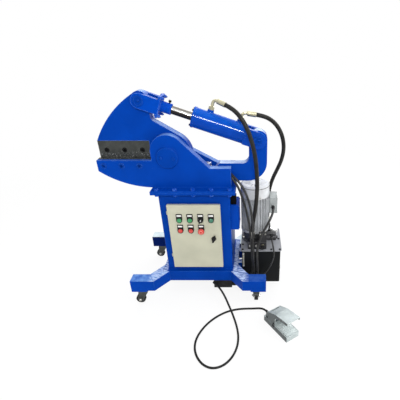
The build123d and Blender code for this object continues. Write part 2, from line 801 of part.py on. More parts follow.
# Upper blade with counterbored holes, so that its screws lie below the face
upper_bar = blade(upper_blade_x, upper_blade_z, UPPER_BLADE_L, UPPER_BLADE_H, jaw_front + BLADE_T,
                  upper_bolts)
upper_seat = jaw_front + BLADE_HEAD_H + UPPER_HEAD_SUNK
with BuildPart() as upper_blade:
    add(upper_bar)
    with BuildSketch(facing(upper_seat)):
        with Locations(*upper_bolts):
            Circle(BLADE_HEAD_D / 2 + BLADE_SEAT_GAP)
    extrude(amount=BLADE_HEAD_H + UPPER_HEAD_SUNK, mode=Mode.SUBTRACT)
save(upper_blade, "upper_blade")
upper_screw = socket_screw(upper_seat, jaw_back - upper_seat)
with BuildPart() as upper_blade_bolts:
    with Locations(*[(x, 0, z) for x, z in upper_bolts]):
        add(upper_screw)
save(upper_blade_bolts, "upper_blade_bolts")

# Cylinder: barrel with a forked back end and two welded ports
axis = (axis_x, 0, axis_z)
up = (axis_z, 0, -axis_x)
rear_pin = Vector(REAR_PIN_X, BODY_Y, REAR_PIN_Z)
clevis_pin_at = Vector(CLEVIS_X, BODY_Y, CLEVIS_Z)


def axial(distance):
    """Plane square to the cylinder's axis, that far from the rear pin."""
    return along(rear_pin + Vector(axis) * distance, axis)


def lug_plane(pin, y, direction):
    """Plane of a fork cheek, with its origin on the pin and X along direction."""
    return Plane(origin=(pin.X, y, pin.Z), x_dir=direction, z_dir=(0, -1, 0))


def fork_cheeks(pin, direction, radius, reach, pin_d):
    """Two round-ended cheeks that straddle a plate and reach out to a base plate."""
    with BuildPart() as cheeks:
        for back_y in (BODY_Y - lug_inner, BODY_Y + lug_outer):
            with BuildSketch(lug_plane(pin, back_y, direction)):
                Circle(radius)
                with Locations((reach / 2, 0)):
                    Rectangle(reach, 2 * radius)
                Circle(pin_d / 2 + RUNNING_GAP, mode=Mode.SUBTRACT)
            extrude(amount=LUG_T)
    return cheeks.part


rear_cheeks = fork_cheeks(rear_pin, axis, REAR_LUG_R, BARREL_START + END_CAP_T / 2, REAR_PIN_D)
with BuildPart() as cylinder_barrel:
    with BuildSketch(axial(BARREL_START)):
        Circle(BARREL_OD / 2)
        Circle(BORE / 2, mode=Mode.SUBTRACT)
    extrude(amount=BARREL_L)
    with BuildSketch(axial(BARREL_START)):
        Circle(BARREL_OD / 2)
    extrude(amount=END_CAP_T)
    add(rear_cheeks)
    for port in (PORT_FRONT, PORT_REAR):
        seat = rear_pin + Vector(axis) * port
        with BuildSketch(along(seat + Vector(up) * (BORE / 2 + 2), up)):
            Circle(PORT_D / 2)
        extrude(amount=BARREL_OD / 2 - BORE / 2 - 2 + PORT_H)
        with BuildSketch(along(seat, up)):
            Circle(ELBOW_D / 2)
        extrude(amount=BARREL_OD / 2 + PORT_H, mode=Mode.SUBTRACT)
save(cylinder_barrel, "cylinder_barrel")

barrel_end = BARREL_START + BARREL_L
with BuildPart() as cylinder_gland:
    with BuildSketch(axial(barrel_end)):
        Circle(GLAND_OD / 2)
    extrude(amount=GLAND_T)
    chamfer(cylinder_gland.edges().filter_by(GeomType.CIRCLE), 2)
    with BuildSketch(axial(barrel_end)):
        Circle(BORE / 2 - RUNNING_GAP)
    extrude(amount=-GLAND_NOSE)
    with BuildSketch(axial(barrel_end - GLAND_NOSE)):
        Circle(ROD_D / 2 + RUNNING_GAP)
    extrude(amount=GLAND_NOSE + GLAND_T, mode=Mode.SUBTRACT)
save(cylinder_gland, "cylinder_gland")

# Port elbows: nut on the port, bent tube and crimped ferrule
elbow_ends = {}
with BuildPart() as port_elbows:
    for hose, port, leaves in (("front", PORT_FRONT, FRONT_HOSE_DIR), ("rear", PORT_REAR, REAR_HOSE_DIR)):
        seat = rear_pin + Vector(axis) * port + Vector(up) * (BARREL_OD / 2 + PORT_H)
        leave = Vector(leaves).normalized()
        corner = seat + Vector(up) * (ELBOW_RISE[hose] - PORT_H)
        with BuildSketch(along(seat, up)):
            RegularPolygon(NUT_D / 2, 6)
        extrude(amount=NUT_L)
        with BuildLine() as bend:
            FilletPolyline(seat, corner, corner + leave * ELBOW_RUN, radius=ELBOW_R)
        with BuildSketch(along(seat, up)):
            Circle(ELBOW_D / 2)
        sweep(path=bend.line)
        with BuildSketch(along(corner + leave * ELBOW_RUN, leave)):
            Circle(FERRULE_D / 2)
        extrude(amount=FERRULE_L)
        elbow_ends[hose] = (corner + leave * (ELBOW_RUN + FERRULE_L), leave)
save(port_elbows, "port_elbows")

# Piston rod, clevis and pins
clevis_base = pin_span - CLEVIS_REACH
sleeve_end = clevis_base - CLEVIS_BASE_T - CLEVIS_FLANGE_T - SLEEVE_L
piston_back = barrel_end - GLAND_NOSE - PISTON_REST_GAP - PISTON_T
back_axis = (-axis_x, 0, -axis_z)
with BuildPart() as piston_rod:
    with BuildSketch(axial(piston_back)):
        Circle(BORE / 2 - RUNNING_GAP)
    extrude(amount=PISTON_T)
    with BuildSketch(axial(piston_back)):
        Circle(ROD_D / 2)
    extrude(amount=sleeve_end + ROD_SEAT - piston_back)
save(piston_rod, "piston_rod")

clevis_cheeks = fork_cheeks(clevis_pin_at, back_axis, CLEVIS_R, CLEVIS_REACH + CLEVIS_BASE_T / 2,
                            CLEVIS_PIN_D)
with BuildPart() as rod_clevis:
    add(clevis_cheeks)
    with BuildSketch(axial(clevis_base)):
        Rectangle(2 * lug_outer, 2 * CLEVIS_R)
    extrude(amount=-CLEVIS_BASE_T)
    with BuildSketch(axial(clevis_base - CLEVIS_BASE_T)):
        Rectangle(2 * lug_outer, CLEVIS_FLANGE_H)
    extrude(amount=-CLEVIS_FLANGE_T)
    with BuildSketch(axial(sleeve_end)):
        Circle(SLEEVE_D / 2)
    extrude(amount=SLEEVE_L)
    with BuildSketch(axial(sleeve_end)):
        Circle(ROD_D / 2 + RUNNING_GAP)
    extrude(amount=ROD_SEAT, mode=Mode.SUBTRACT)
save(rod_clevis, "rod_clevis")

for pin_name, pin_at, pin_d in (
    ("clevis_pin", clevis_pin_at, CLEVIS_PIN_D),
    ("cylinder_pin", rear_pin, REAR_PIN_D),
):
    with BuildPart() as cross_pin:
        with BuildSketch(facing(BODY_Y + lug_outer)):
            with Locations((pin_at.X, pin_at.Z)):
                Circle(pin_d / 2)
        extrude(amount=2 * lug_outer)
        chamfer(cross_pin.edges().filter_by(GeomType.CIRCLE), 2)
    save(cross_pin, pin_name)

# Control box: open sheet box let into the column, with its gear on a back plate
box_front = column_front - BOX_PROUD
box_back = box_front + BOX_DEPTH
with BuildPart() as enclosure:
    with BuildSketch(facing(box_back)):
        with Locations((DOOR_X, DOOR_Z)):
            Rectangle(box_w, box_h)
    extrude(amount=BOX_DEPTH)
    with BuildSketch(facing(box_back - BOX_SKIN)):
        with Locations((DOOR_X, DOOR_Z)):
            Rectangle(box_w - 2 * BOX_SKIN, box_h - 2 * BOX_SKIN)
    extrude(amount=BOX_DEPTH, mode=Mode.SUBTRACT)
save(enclosure, "enclosure")

gear_back = box_back - BOX_SKIN
with BuildPart() as control_gear:
    with BuildSketch(facing(gear_back)):
        with Locations((DOOR_X, DOOR_Z)):
            Rectangle(GEAR_PLATE_W, GEAR_PLATE_H)
    extrude(amount=GEAR_PLATE_T)
    with BuildSketch(facing(gear_back - GEAR_PLATE_T)):
        with Locations((DOOR_X, DOOR_Z + RAIL_UP), (DOOR_X, DOOR_Z - RAIL_DOWN)):
            Rectangle(GEAR_PLATE_W - 2 * RAIL_INSET, RAIL_H)
    extrude(amount=RAIL_T)
    with BuildSketch(facing(gear_back - GEAR_PLATE_T - RAIL_T)):
        with Locations(*[(DOOR_X + x, DOOR_Z + RAIL_UP) for x in CONTACTOR_XS]):
            Rectangle(CONTACTOR_W, CONTACTOR_H)
        with Locations((DOOR_X + BREAKER_X, DOOR_Z + RAIL_UP)):
            Rectangle(BREAKER_W, BREAKER_H)
        with Locations((DOOR_X + TERMINAL_ROW_X, DOOR_Z - RAIL_DOWN)):
            Rectangle(TERMINAL_ROW_W, TERMINAL_ROW_H)
    extrude(amount=GEAR_DEPTH)
save(control_gear, "control_gear")

# Door: folded skin with rounded edges, and knuckles that drop onto the column's hinge pins
door_back = box_front - DOOR_GAP
door_front = door_back - DOOR_T
button_xs = [DOOR_X - DOOR_W / 2 + BUTTON_LEFT_INSET + i * BUTTON_PITCH_X for i in range(4)]
top_row = DOOR_Z + DOOR_H / 2 - BUTTON_TOP_INSET
button_places = [(x, top_row) for x in button_xs] + [(x, top_row - BUTTON_PITCH_Z) for x in button_xs[:3]]
lock_at = (DOOR_X + DOOR_W / 2 - LOCK_RIGHT_INSET, DOOR_Z - LOCK_DROP)
with BuildPart() as control_door:
    with BuildSketch(facing(door_back)):
        with Locations((DOOR_X, DOOR_Z)):
            RectangleRounded(DOOR_W, DOOR_H, DOOR_EDGE_R)
    extrude(amount=DOOR_T)
    fillet(control_door.faces().sort_by(Axis.Y)[0].edges(), DOOR_EDGE_R)
    with BuildSketch(facing(door_back)):
        with Locations((DOOR_X, DOOR_Z)):
            Rectangle(DOOR_W - 2 * DOOR_SKIN, DOOR_H - 2 * DOOR_SKIN)
    extrude(amount=DOOR_T - DOOR_SKIN, mode=Mode.SUBTRACT)
    with BuildSketch(facing(door_back)):
        with Locations(*button_places, lock_at):
            Circle(BUTTON_STEM_D / 2 + STEM_GAP)
    extrude(amount=DOOR_T, mode=Mode.SUBTRACT)
    for hinge_z in hinge_zs:
        with BuildSketch(Plane.XY.offset(hinge_z + HINGE_LIFT)):
            with Locations((hinge_x, hinge_y)):
                Circle(HINGE_D / 2)
                Rectangle(HINGE_OUT + DOOR_SKIN, HINGE_D / 2, align=(Align.MIN, Align.MAX))
                Circle(HINGE_PIN_D / 2 + RUNNING_GAP, mode=Mode.SUBTRACT)
        extrude(amount=HINGE_L)
save(control_door, "control_door")

# Bezels: round collars with a legend frame standing above each
with BuildPart() as button_bezels:
    with BuildSketch(facing(door_front)):
        with Locations(*button_places):
            Circle(BEZEL_D / 2)
            Rectangle(LEGEND_W, LEGEND_UP, align=(Align.CENTER, Align.MIN))
        with Locations(*button_places):
            Circle(BUTTON_CAP_D / 2 + STEM_GAP, mode=Mode.SUBTRACT)
    extrude(amount=LEGEND_T)
    with BuildSketch(facing(door_front)):
        with Locations(*button_places):
            Circle(BEZEL_D / 2)
            Circle(BUTTON_CAP_D / 2 + STEM_GAP, mode=Mode.SUBTRACT)
    extrude(amount=BEZEL_H)
save(button_bezels, "button_bezels")


def control_stem(place, stand):
    """Stem through the door at place, from behind the door to stand off its face."""
    with BuildPart() as stem:
        with BuildSketch(facing(door_back + SWITCH_BODY_L)):
            with Locations(place):
                Circle(BUTTON_STEM_D / 2)
        extrude(amount=SWITCH_BODY_L + DOOR_T + stand)
    return stem.part


for name, place in (
    ("start_button", button_places[0]),
    ("cut_button", button_places[1]),
    ("stop_button", button_places[4]),
    ("open_button", button_places[5]),
):
    stem = control_stem(place, BUTTON_STAND - CAP_T)
    with BuildPart() as button:
        add(stem)
        with BuildSketch(facing(door_front - BUTTON_STAND + CAP_T)):
            with Locations(place):
                Circle(BUTTON_CAP_D / 2)
        extrude(amount=CAP_T)
        fillet(button.faces().sort_by(Axis.Y)[0].edges(), 1.5)
    save(button, name)

mushroom_stand = BEZEL_H + BUTTON_TRAVEL + 2
stop_stem = control_stem(button_places[6], mushroom_stand)
with BuildPart() as emergency_stop:
    add(stop_stem)
    with BuildSketch(facing(door_front - mushroom_stand)):
        with Locations(button_places[6]):
            Circle(MUSHROOM_D / 2)
    extrude(amount=MUSHROOM_H - BEZEL_H)
    fillet(emergency_stop.faces().sort_by(Axis.Y)[0].edges(), 7)
save(emergency_stop, "emergency_stop")

selector_stem = control_stem(button_places[2], 0)
with BuildPart() as mode_selector:
    add(selector_stem)
    with BuildSketch(facing(door_front)):
        with Locations(button_places[2]):
            Circle(BUTTON_CAP_D / 2 - 1)
    extrude(amount=BEZEL_H + 2)
    with BuildSketch(facing(door_front - BEZEL_H - 2)):
        with Locations(button_places[2]):
            SlotOverall(SELECTOR_D, SELECTOR_GRIP, rotation=SELECTOR_TILT)
    extrude(amount=SELECTOR_H - BEZEL_H - 2)
save(mode_selector, "mode_selector")

lamp_stem = control_stem(button_places[3], 0)
with BuildPart() as pilot_lamp:
    add(lamp_stem)
    with BuildSketch(facing(door_front)):
        with Locations(button_places[3]):
            Circle(BUTTON_CAP_D / 2)
    extrude(amount=BUTTON_STAND + 4)
    fillet(pilot_lamp.faces().sort_by(Axis.Y)[0].edges(), 6)
save(pilot_lamp, "pilot_lamp")

lock_stem = control_stem(lock_at, STEM_GAP)
with BuildPart() as door_lock:
    add(lock_stem)
    with BuildSketch(facing(door_front - STEM_GAP)):
        with Locations(lock_at):
            Circle(LOCK_D / 4)
            SlotOverall(LOCK_D, LOCK_WING, rotation=LOCK_TILT)
    extrude(amount=LOCK_H)
save(door_lock, "door_lock")

# Pump unit: tank, cover with a filler neck, bell housing, motor and pump
tank_top = TANK_Z + TANK_H
with BuildPart() as tank:
    with BuildSketch(Plane.XY.offset(TANK_Z)):
        with Locations((tank_x, 0)):
            RectangleRounded(TANK_W, TANK_D, TANK_CORNER_R)
    extrude(amount=TANK_H)
    with BuildSketch(Plane.XY.offset(TANK_Z + TANK_WALL)):
        with Locations((tank_x, 0)):
            RectangleRounded(TANK_W - 2 * TANK_WALL, TANK_D - 2 * TANK_WALL, TANK_CORNER_R - TANK_WALL)
    extrude(amount=TANK_H, mode=Mode.SUBTRACT)
save(tank, "tank")

cover_top = tank_top + COVER_T
with BuildPart() as tank_cover:
    with BuildSketch(Plane.XY.offset(tank_top)):
        with Locations((tank_x, 0)):
            RectangleRounded(TANK_W + 2 * COVER_RIM, TANK_D + 2 * COVER_RIM, TANK_CORNER_R + COVER_RIM)
    extrude(amount=COVER_T)
    with BuildSketch(Plane.XY.offset(cover_top)):
        with Locations((filler_x, FILLER_Y)):
            Circle(FILLER_D / 2)
    extrude(amount=FILLER_H)
    with BuildSketch(Plane.XY.offset(cover_top + FILLER_H)):
        with Locations((filler_x, FILLER_Y)):
            Circle(FILLER_CAP_D / 2)
    extrude(amount=FILLER_CAP_H)
    fillet(tank_cover.faces().sort_by(Axis.Z)[-1].edges(), FILLER_CAP_R)
save(tank_cover, "tank_cover")

motor_base = cover_top + BELL_H
motor_at = (motor_x, MOTOR_Y)
with BuildPart() as bell_housing:
    with BuildSketch(Plane.XY.offset(cover_top)):
        with Locations(motor_at):
            Circle(BELL_D / 2)
    extrude(amount=BELL_H)
    with BuildSketch(Plane.XY.offset(cover_top)):
        with Locations(motor_at):
            Circle(BELL_FOOT_D / 2)
    extrude(amount=BELL_FOOT_T)
    with BuildSketch(Plane.XY.offset(cover_top + WINDOW_SILL)):
        with Locations(motor_at):
            with Locations((0, -BELL_D / 2), (0, BELL_D / 2)):
                Rectangle(WINDOW_W, WINDOW_DEPTH)
    extrude(amount=BELL_H - WINDOW_SILL - WINDOW_LINTEL, mode=Mode.SUBTRACT)
save(bell_housing, "bell_housing")

motor_bottom = motor_base + MOTOR_FLANGE_T
with BuildPart() as motor:
    with BuildSketch(Plane.XY.offset(motor_base)):
        with Locations(motor_at):
            Circle(MOTOR_FLANGE_D / 2)
    extrude(amount=MOTOR_FLANGE_T)
    with BuildSketch(Plane.XY.offset(motor_bottom)):
        with Locations(motor_at):
            Circle(MOTOR_CORE_D / 2)
            with PolarLocations(MOTOR_CORE_D / 2 - 1, FIN_COUNT):
                Rectangle((MOTOR_D - MOTOR_CORE_D) / 2 + 1, FIN_T, align=(Align.MIN, Align.CENTER))
    extrude(amount=MOTOR_H)
    with BuildSketch(Plane.XY.offset(motor_bottom + TERMINAL_RISE)):
        with Locations((motor_x + MOTOR_D / 2, MOTOR_Y)):
            Rectangle(TERMINAL_SEAT, TERMINAL_D - TERMINAL_RIM, align=(Align.MAX, Align.CENTER))
    extrude(amount=TERMINAL_H - 2 * TERMINAL_RIM)
save(motor, "motor")

motor_top = motor_bottom + MOTOR_H
with BuildPart() as fan_cover:
    with BuildSketch(Plane.XY.offset(motor_top)):
        with Locations(motor_at):
            Circle(MOTOR_D / 2 + 1)
    extrude(amount=FAN_COVER_H)
    fillet(fan_cover.faces().sort_by(Axis.Z)[-1].edges(), FAN_EDGE_R)
    with BuildSketch(Plane.XY.offset(motor_top)):
        with Locations(motor_at):
            Circle(MOTOR_D / 2 + 1 - FAN_COVER_WALL)
    extrude(amount=FAN_COVER_H - FAN_EDGE_R, mode=Mode.SUBTRACT)
    with BuildSketch(Plane.XY.offset(motor_top + FAN_COVER_H - FAN_EDGE_R)):
        with Locations(motor_at):
            with PolarLocations(GRILLE_R, GRILLE_SLOTS):
                SlotOverall(GRILLE_SLOT_L, GRILLE_SLOT_W)
    extrude(amount=FAN_EDGE_R, mode=Mode.SUBTRACT)
    with BuildSketch(Plane.XY.offset(motor_top)):
        with Locations(motor_at):
            Circle(MOTOR_D / 2 - 2)
            Circle(MOTOR_CORE_D / 2 - 2 * FAN_LIP_T, mode=Mode.SUBTRACT)
    extrude(amount=FAN_LIP_T)
save(fan_cover, "fan_cover")

terminal_z = motor_bottom + TERMINAL_RISE - TERMINAL_RIM
terminal_x = motor_x + MOTOR_D / 2
with BuildPart() as terminal_box:
    with BuildSketch(Plane.XY.offset(terminal_z)):
        with Locations((terminal_x, MOTOR_Y)):
            RectangleRounded(TERMINAL_W, TERMINAL_D, 6, align=(Align.MIN, Align.CENTER))
    extrude(amount=TERMINAL_H)
    chamfer(terminal_box.faces().sort_by(Axis.X)[-1].edges(), 4)
    with BuildSketch(facing(MOTOR_Y - TERMINAL_D / 2)):
        with Locations((terminal_x + TERMINAL_W / 2, terminal_z + GLAND_RISE)):
            Circle(GLAND_D / 2)
    extrude(amount=GLAND_L)
save(terminal_box, "terminal_box")

with BuildPart() as gear_pump:
    with BuildSketch(Plane.XY.offset(tank_top)):
        with Locations(motor_at):
            Rectangle(PUMP_D, PUMP_D)
    extrude(amount=-PUMP_L)
    fillet(gear_pump.edges().filter_by(Axis.Z), PUMP_CORNER_R)
    with BuildSketch(Plane.XY.offset(tank_top - PUMP_L)):
        with Locations((motor_x, MOTOR_Y - INTAKE_SET)):
            Circle(INTAKE_D / 2)
    extrude(amount=-INTAKE_L)
save(gear_pump, "gear_pump")

# Valve block with its two hose adapters, and the solenoid valve on top
block_top = cover_top + BLOCK_H
front_port = (block_port_x, BLOCK_Y)
with BuildPart() as valve_block:
    with BuildSketch(Plane.XY.offset(cover_top)):
        with Locations(((block_x0 + block_x1) / 2, BLOCK_Y)):
            Rectangle(block_x1 - block_x0, BLOCK_D)
        with Locations((rear_port_x, REAR_PORT_Y)):
            Rectangle(REAR_BLOCK_W, REAR_BLOCK_W)
    extrude(amount=BLOCK_H)
    chamfer(valve_block.faces().sort_by(Axis.Z)[-1].edges(), 2)
    for port_at in (front_port, (rear_port_x, REAR_PORT_Y)):
        with BuildSketch(Plane.XY.offset(block_top)):
            with Locations(port_at):
                RegularPolygon(NUT_D / 2, 6)
        extrude(amount=NUT_L)
        with BuildSketch(Plane.XY.offset(block_top + NUT_L)):
            with Locations(port_at):
                Circle(FERRULE_D / 2)
        extrude(amount=FERRULE_L)
save(valve_block, "valve_block")

valve_x = block_x1 - VALVE_W / 2
coil_z = block_top + VALVE_H / 2
with BuildPart() as solenoid_valve:
    with BuildSketch(Plane.XY.offset(block_top)):
        with Locations((valve_x, BLOCK_Y)):
            Rectangle(VALVE_W, BLOCK_D - 4)
    extrude(amount=VALVE_H)
    with BuildSketch(Plane.YZ.offset(block_x1)):
        with Locations((BLOCK_Y, coil_z)):
            Circle(COIL_D / 2)
            Rectangle(COIL_PLUG_W, COIL_D / 2 + 10, align=(Align.CENTER, Align.MIN))
    extrude(amount=COIL_L)
    with BuildSketch(Plane.YZ.offset(block_x1 + COIL_L)):
        with Locations((BLOCK_Y, coil_z)):
            Circle(9)
    extrude(amount=10)
save(solenoid_valve, "solenoid_valve")

# Junction box on the column's side, with its cable outlet on top
with BuildPart() as junction_box:
    with BuildSketch(Plane.XY.offset(JUNCTION_Z)):
        with Locations((COLUMN_W / 2, column_front + JUNCTION_INSET)):
            Rectangle(JUNCTION_W, JUNCTION_D, align=(Align.MIN, Align.MIN))
    extrude(amount=JUNCTION_H)
    fillet(junction_box.edges().filter_by(Axis.Z).group_by(Axis.X)[-1], 3)
    with BuildSketch(Plane.XY.offset(JUNCTION_Z + JUNCTION_H)):
        with Locations((COLUMN_W / 2, column_front + OUTLET_INSET)):
            Rectangle(OUTLET_W, OUTLET_D, align=(Align.MIN, Align.MIN))
    extrude(amount=OUTLET_H)
save(junction_box, "junction_box")

# Cable box under the base, with glands for the cables and the pedal cord
duct_bottom = base_bottom - DUCT_H
cable_ys = (DUCT_Y0 + GLAND_INSET, DUCT_Y0 + GLAND_INSET + GLAND_PITCH_Y)
cable_zs = (duct_bottom + GLAND_FIRST_Z, duct_bottom + GLAND_FIRST_Z + GLAND_PITCH_Z)
cord_exit = Vector(DUCT_X0 + 8, DUCT_Y0, duct_bottom + 28)
cord_tip = cord_exit + Vector(*CORD_EXIT_DIR).normalized() * GLAND_L
with BuildPart() as cable_duct:
    with BuildSketch(Plane.XY.offset(duct_bottom)):
        with Locations((DUCT_X0, DUCT_Y0)):
            Rectangle(DUCT_X1 - DUCT_X0, DUCT_D, align=(Align.MIN, Align.MIN))
    extrude(amount=DUCT_H)
    with BuildSketch(Plane.YZ.offset(DUCT_X1)):
        with Locations(*[(y, z) for y in cable_ys for z in cable_zs]):
            Circle(GLAND_D / 2)
    extrude(amount=GLAND_L)
    with BuildSketch(along(cord_tip, CORD_EXIT_DIR, None)):
        Circle(GLAND_D / 2)
    extrude(amount=-2 * GLAND_L)
save(cable_duct, "cable_duct")


# Cords: tubes along straight runs joined by arcs as large as the runs allow
def corner_radii(points):
    """Radius at each inner point: 0.45 of the shorter run over the tangent of half the turn."""
    radii = []
    for before, here, after in zip(points, points[1:], points[2:]):
        into = Vector(here) - Vector(before)
        out = Vector(after) - Vector(here)
        turn = radians(into.get_angle(out))
        radii.append(0.45 * min(into.length, out.length) / tan(turn / 2))
    return radii


def cord(points, diameter, name):
    """Tube of that diameter along the points, with its radii and volume printed."""
    radii = corner_radii(points)
    with BuildPart() as tube:
        with BuildLine() as route:
            FilletPolyline(*points, radius=radii)
        with BuildSketch(along(route.line @ 0, route.line % 0, None)):
            Circle(diameter / 2)
        sweep(path=route.line)
    length = route.wire().length
    expected = pi * diameter**2 / 4 * length
    print(f"{name}: length {length:.0f}, radii {[round(r) for r in radii]},",
          f"volume {tube.part.volume / expected:.4f} of section times length")
    return tube.part


front_end, front_leaves = elbow_ends["front"]
rear_end, rear_leaves = elbow_ends["rear"]
hose_foot = block_top + NUT_L + FERRULE_L
front_hose_points = [
    tuple(front_end),
    tuple(front_end + front_leaves * HOSE_LEAD),
    (248, -124, 999),
    (278, -138, 945),
    (299, -143, 878),
    (312, -143, 806),
    (318, -140, 730),
    (319, -135, 652),
    (315, -127, 578),
    (308, -114, 512),
    (300, -99, 456),
    (block_port_x, BLOCK_Y, 412),
    (block_port_x, BLOCK_Y, hose_foot),
]
rear_hose_points = [
    tuple(rear_end),
    tuple(rear_end + rear_leaves * HOSE_LEAD),
    (397, -29, 966),
    (430, -19, 924),
    (450, -7, 872),
    (457, 8, 814),
    (449, 28, 752),
    (430, 53, 692),
    (408, 75, 632),
    (392, 90, 568),
    (385, 96, 500),
    (rear_port_x, REAR_PORT_Y, 432),
    (rear_port_x, REAR_PORT_Y, hose_foot),
]
for name, points in (("hose_front", front_hose_points), ("hose_rear", rear_hose_points)):
    tube = cord(points, HOSE_D, name)
    with BuildPart() as hose:
        add(tube)
    save(hose, name)

# Control cables: two for the limit switches, one for the motor and a thin one for the valve
motor_gland = (terminal_x + TERMINAL_W / 2, MOTOR_Y - TERMINAL_D / 2 - GLAND_L, terminal_z + GLAND_RISE)
coil_plug = (block_x1 + COIL_L / 2, BLOCK_Y - COIL_PLUG_W / 2, coil_z + COIL_D / 2)
duct_face = DUCT_X1 + GLAND_L
near_y, far_y = cable_ys
low_z, high_z = cable_zs
switch_cable_1 = [
    (BODY_RIGHT_X - CABLE_SET_IN, -94, 722),
    (214, -111, 700),
    (245, -128, 665),
    (269, -140, 616),
    (285, -148, 556),
    (294, -152, 484),
    (297, -152, 404),
    (298, -152, 322),
    (301, -152, 242),
    (305, -152, 172),
    (300, near_y, 126),
    (276, near_y, 97),
    (232, near_y, high_z),
    (duct_face, near_y, high_z),
]
switch_cable_2 = [
    (BODY_RIGHT_X - CABLE_SET_IN, -106, 712),
    (208, -115, 686),
    (229, -123, 647),
    (246, -128, 594),
    (262, -131, 533),
    (275, -132, 466),
    (283, -132, 394),
    (287, -132, 318),
    (292, -132, 244),
    (296, -132, 176),
    (290, far_y, 126),
    (266, far_y, 98),
    (232, far_y, high_z),
    (duct_face, far_y, high_z),
]
motor_cable = [
    motor_gland,
    (motor_gland[0], motor_gland[1] - MOTOR_LEAD, motor_gland[2]),
    (395, -112, 482),
    (373, -127, 441),
    (349, -134, 397),
    (331, -142, 352),
    (321, -151, 308),
    (319, -158, 258),
    (322, -158, 204),
    (323, -155, 150),
    (312, near_y, 101),
    (287, near_y, 74),
    (244, near_y, low_z),
    (duct_face, near_y, low_z),
]
valve_cable = [
    coil_plug,
    (coil_plug[0], coil_plug[1] - VALVE_LEAD, coil_plug[2]),
    (406, -166, 334),
    (413, -172, 284),
    (404, -164, 230),
    (387, -154, 178),
    (363, -146, 134),
    (332, -139, 98),
    (290, -134, 74),
    (242, far_y, low_z),
    (duct_face, far_y, low_z),
]
cable_tubes = [
    cord(switch_cable_1, CABLE_D, "switch cable 1"),
    cord(switch_cable_2, CABLE_D, "switch cable 2"),
    cord(motor_cable, MOTOR_CABLE_D, "motor cable"),
    cord(valve_cable, VALVE_CABLE_D, "valve cable"),
]
with BuildPart() as control_cables:
    for tube in cable_tubes:
        add(tube)
save(control_cables, "control_cables")

# Foot pedal: tray with the hinged treadle in it, and a hood over the foot
pedal_along = Vector(cos(radians(PEDAL_DEG)), sin(radians(PEDAL_DEG)), 0)
pedal_frame = Plane(origin=(PEDAL_X, PEDAL_Y, 0), x_dir=pedal_along, z_dir=(0, 0, 1))
tray_inner_w = PEDAL_W - 2 * PEDAL_WALL
with BuildPart() as tray:
    with BuildSketch():
        Rectangle(PEDAL_L, PEDAL_W, align=(Align.MIN, Align.CENTER))
    extrude(amount=PEDAL_H)
    fillet(tray.edges().filter_by(Axis.Z), 3)
    with BuildSketch(Plane.XY.offset(PEDAL_FLOOR_T)):
        with Locations((PEDAL_WALL, 0)):
            Rectangle(PEDAL_L - 2 * PEDAL_WALL, tray_inner_w, align=(Align.MIN, Align.CENTER))
    extrude(amount=PEDAL_H, mode=Mode.SUBTRACT)
    with BuildSketch(Plane.YZ):
        with Locations((0, PEDAL_H / 2)):
            Circle(GLAND_D / 2)
    extrude(amount=-GLAND_L)
    with BuildSketch(Plane.XY.offset(PEDAL_FLOOR_T)):
        with Locations((HOOD_BACK + 2 * HOOD_WALL, 0)):
            Rectangle(SWITCH_L, SWITCH_W, align=(Align.MIN, Align.CENTER))
    extrude(amount=SWITCH_H)
    with BuildSketch(facing(PEDAL_W / 2)):
        with Locations((TREADLE_PIVOT, TREADLE_Z)):
            Circle(TREADLE_PIN_D / 2 + RUNNING_GAP)
    extrude(amount=PEDAL_W, mode=Mode.SUBTRACT)
with BuildPart(pedal_frame) as pedal_base:
    add(tray.part)
save(pedal_base, "pedal_base")

treadle_w = tray_inner_w - 2 * TREADLE_GAP
with BuildPart() as treadle:
    with BuildSketch(facing(treadle_w / 2)):
        with BuildLine():
            Polyline(
                (TREADLE_PIVOT, TREADLE_Z + TREADLE_PIN_D / 2 + 2),
                (TREADLE_PIVOT - 6, PEDAL_H + 1),
                (PEDAL_L - PEDAL_WALL - TREADLE_GAP, PEDAL_H + 1),
                (PEDAL_L - PEDAL_WALL - TREADLE_GAP, PEDAL_H + 1 - TREADLE_T),
                (TREADLE_PIVOT + 10, PEDAL_H + 1 - TREADLE_T),
                close=True,
            )
        make_face()
        with Locations((TREADLE_PIVOT, TREADLE_Z)):
            Circle(TREADLE_PIN_D / 2 + 3)
    extrude(amount=treadle_w)
    with BuildSketch(facing(PEDAL_W / 2)):
        with Locations((TREADLE_PIVOT, TREADLE_Z)):
            Circle(TREADLE_PIN_D / 2)
    extrude(amount=PEDAL_W)
    with BuildSketch(Plane.XY.offset(PEDAL_H + 1)):
        with Locations((TREADLE_PIVOT + 56, 0)):
            with GridLocations(12, 0, 7, 1):
                Rectangle(4, treadle_w - 12)
    extrude(amount=1.5)
with BuildPart(pedal_frame) as pedal_treadle:
    add(treadle.part)
save(pedal_treadle, "pedal_treadle")


def hood_profile(inset):
    """Top line of the hood from its back foot to its front edge, drawn in by inset."""
    return [
        (HOOD_BACK + inset, PEDAL_H),
        (HOOD_BACK + inset, HOOD_BACK_H - inset / 3),
        (HOOD_BACK + HOOD_LEAN + inset / 2, HOOD_SHOULDER_H - inset),
        (HOOD_WALL_END, HOOD_MID_H - inset),
        (PEDAL_L + inset, HOOD_FRONT_H - inset),
    ]


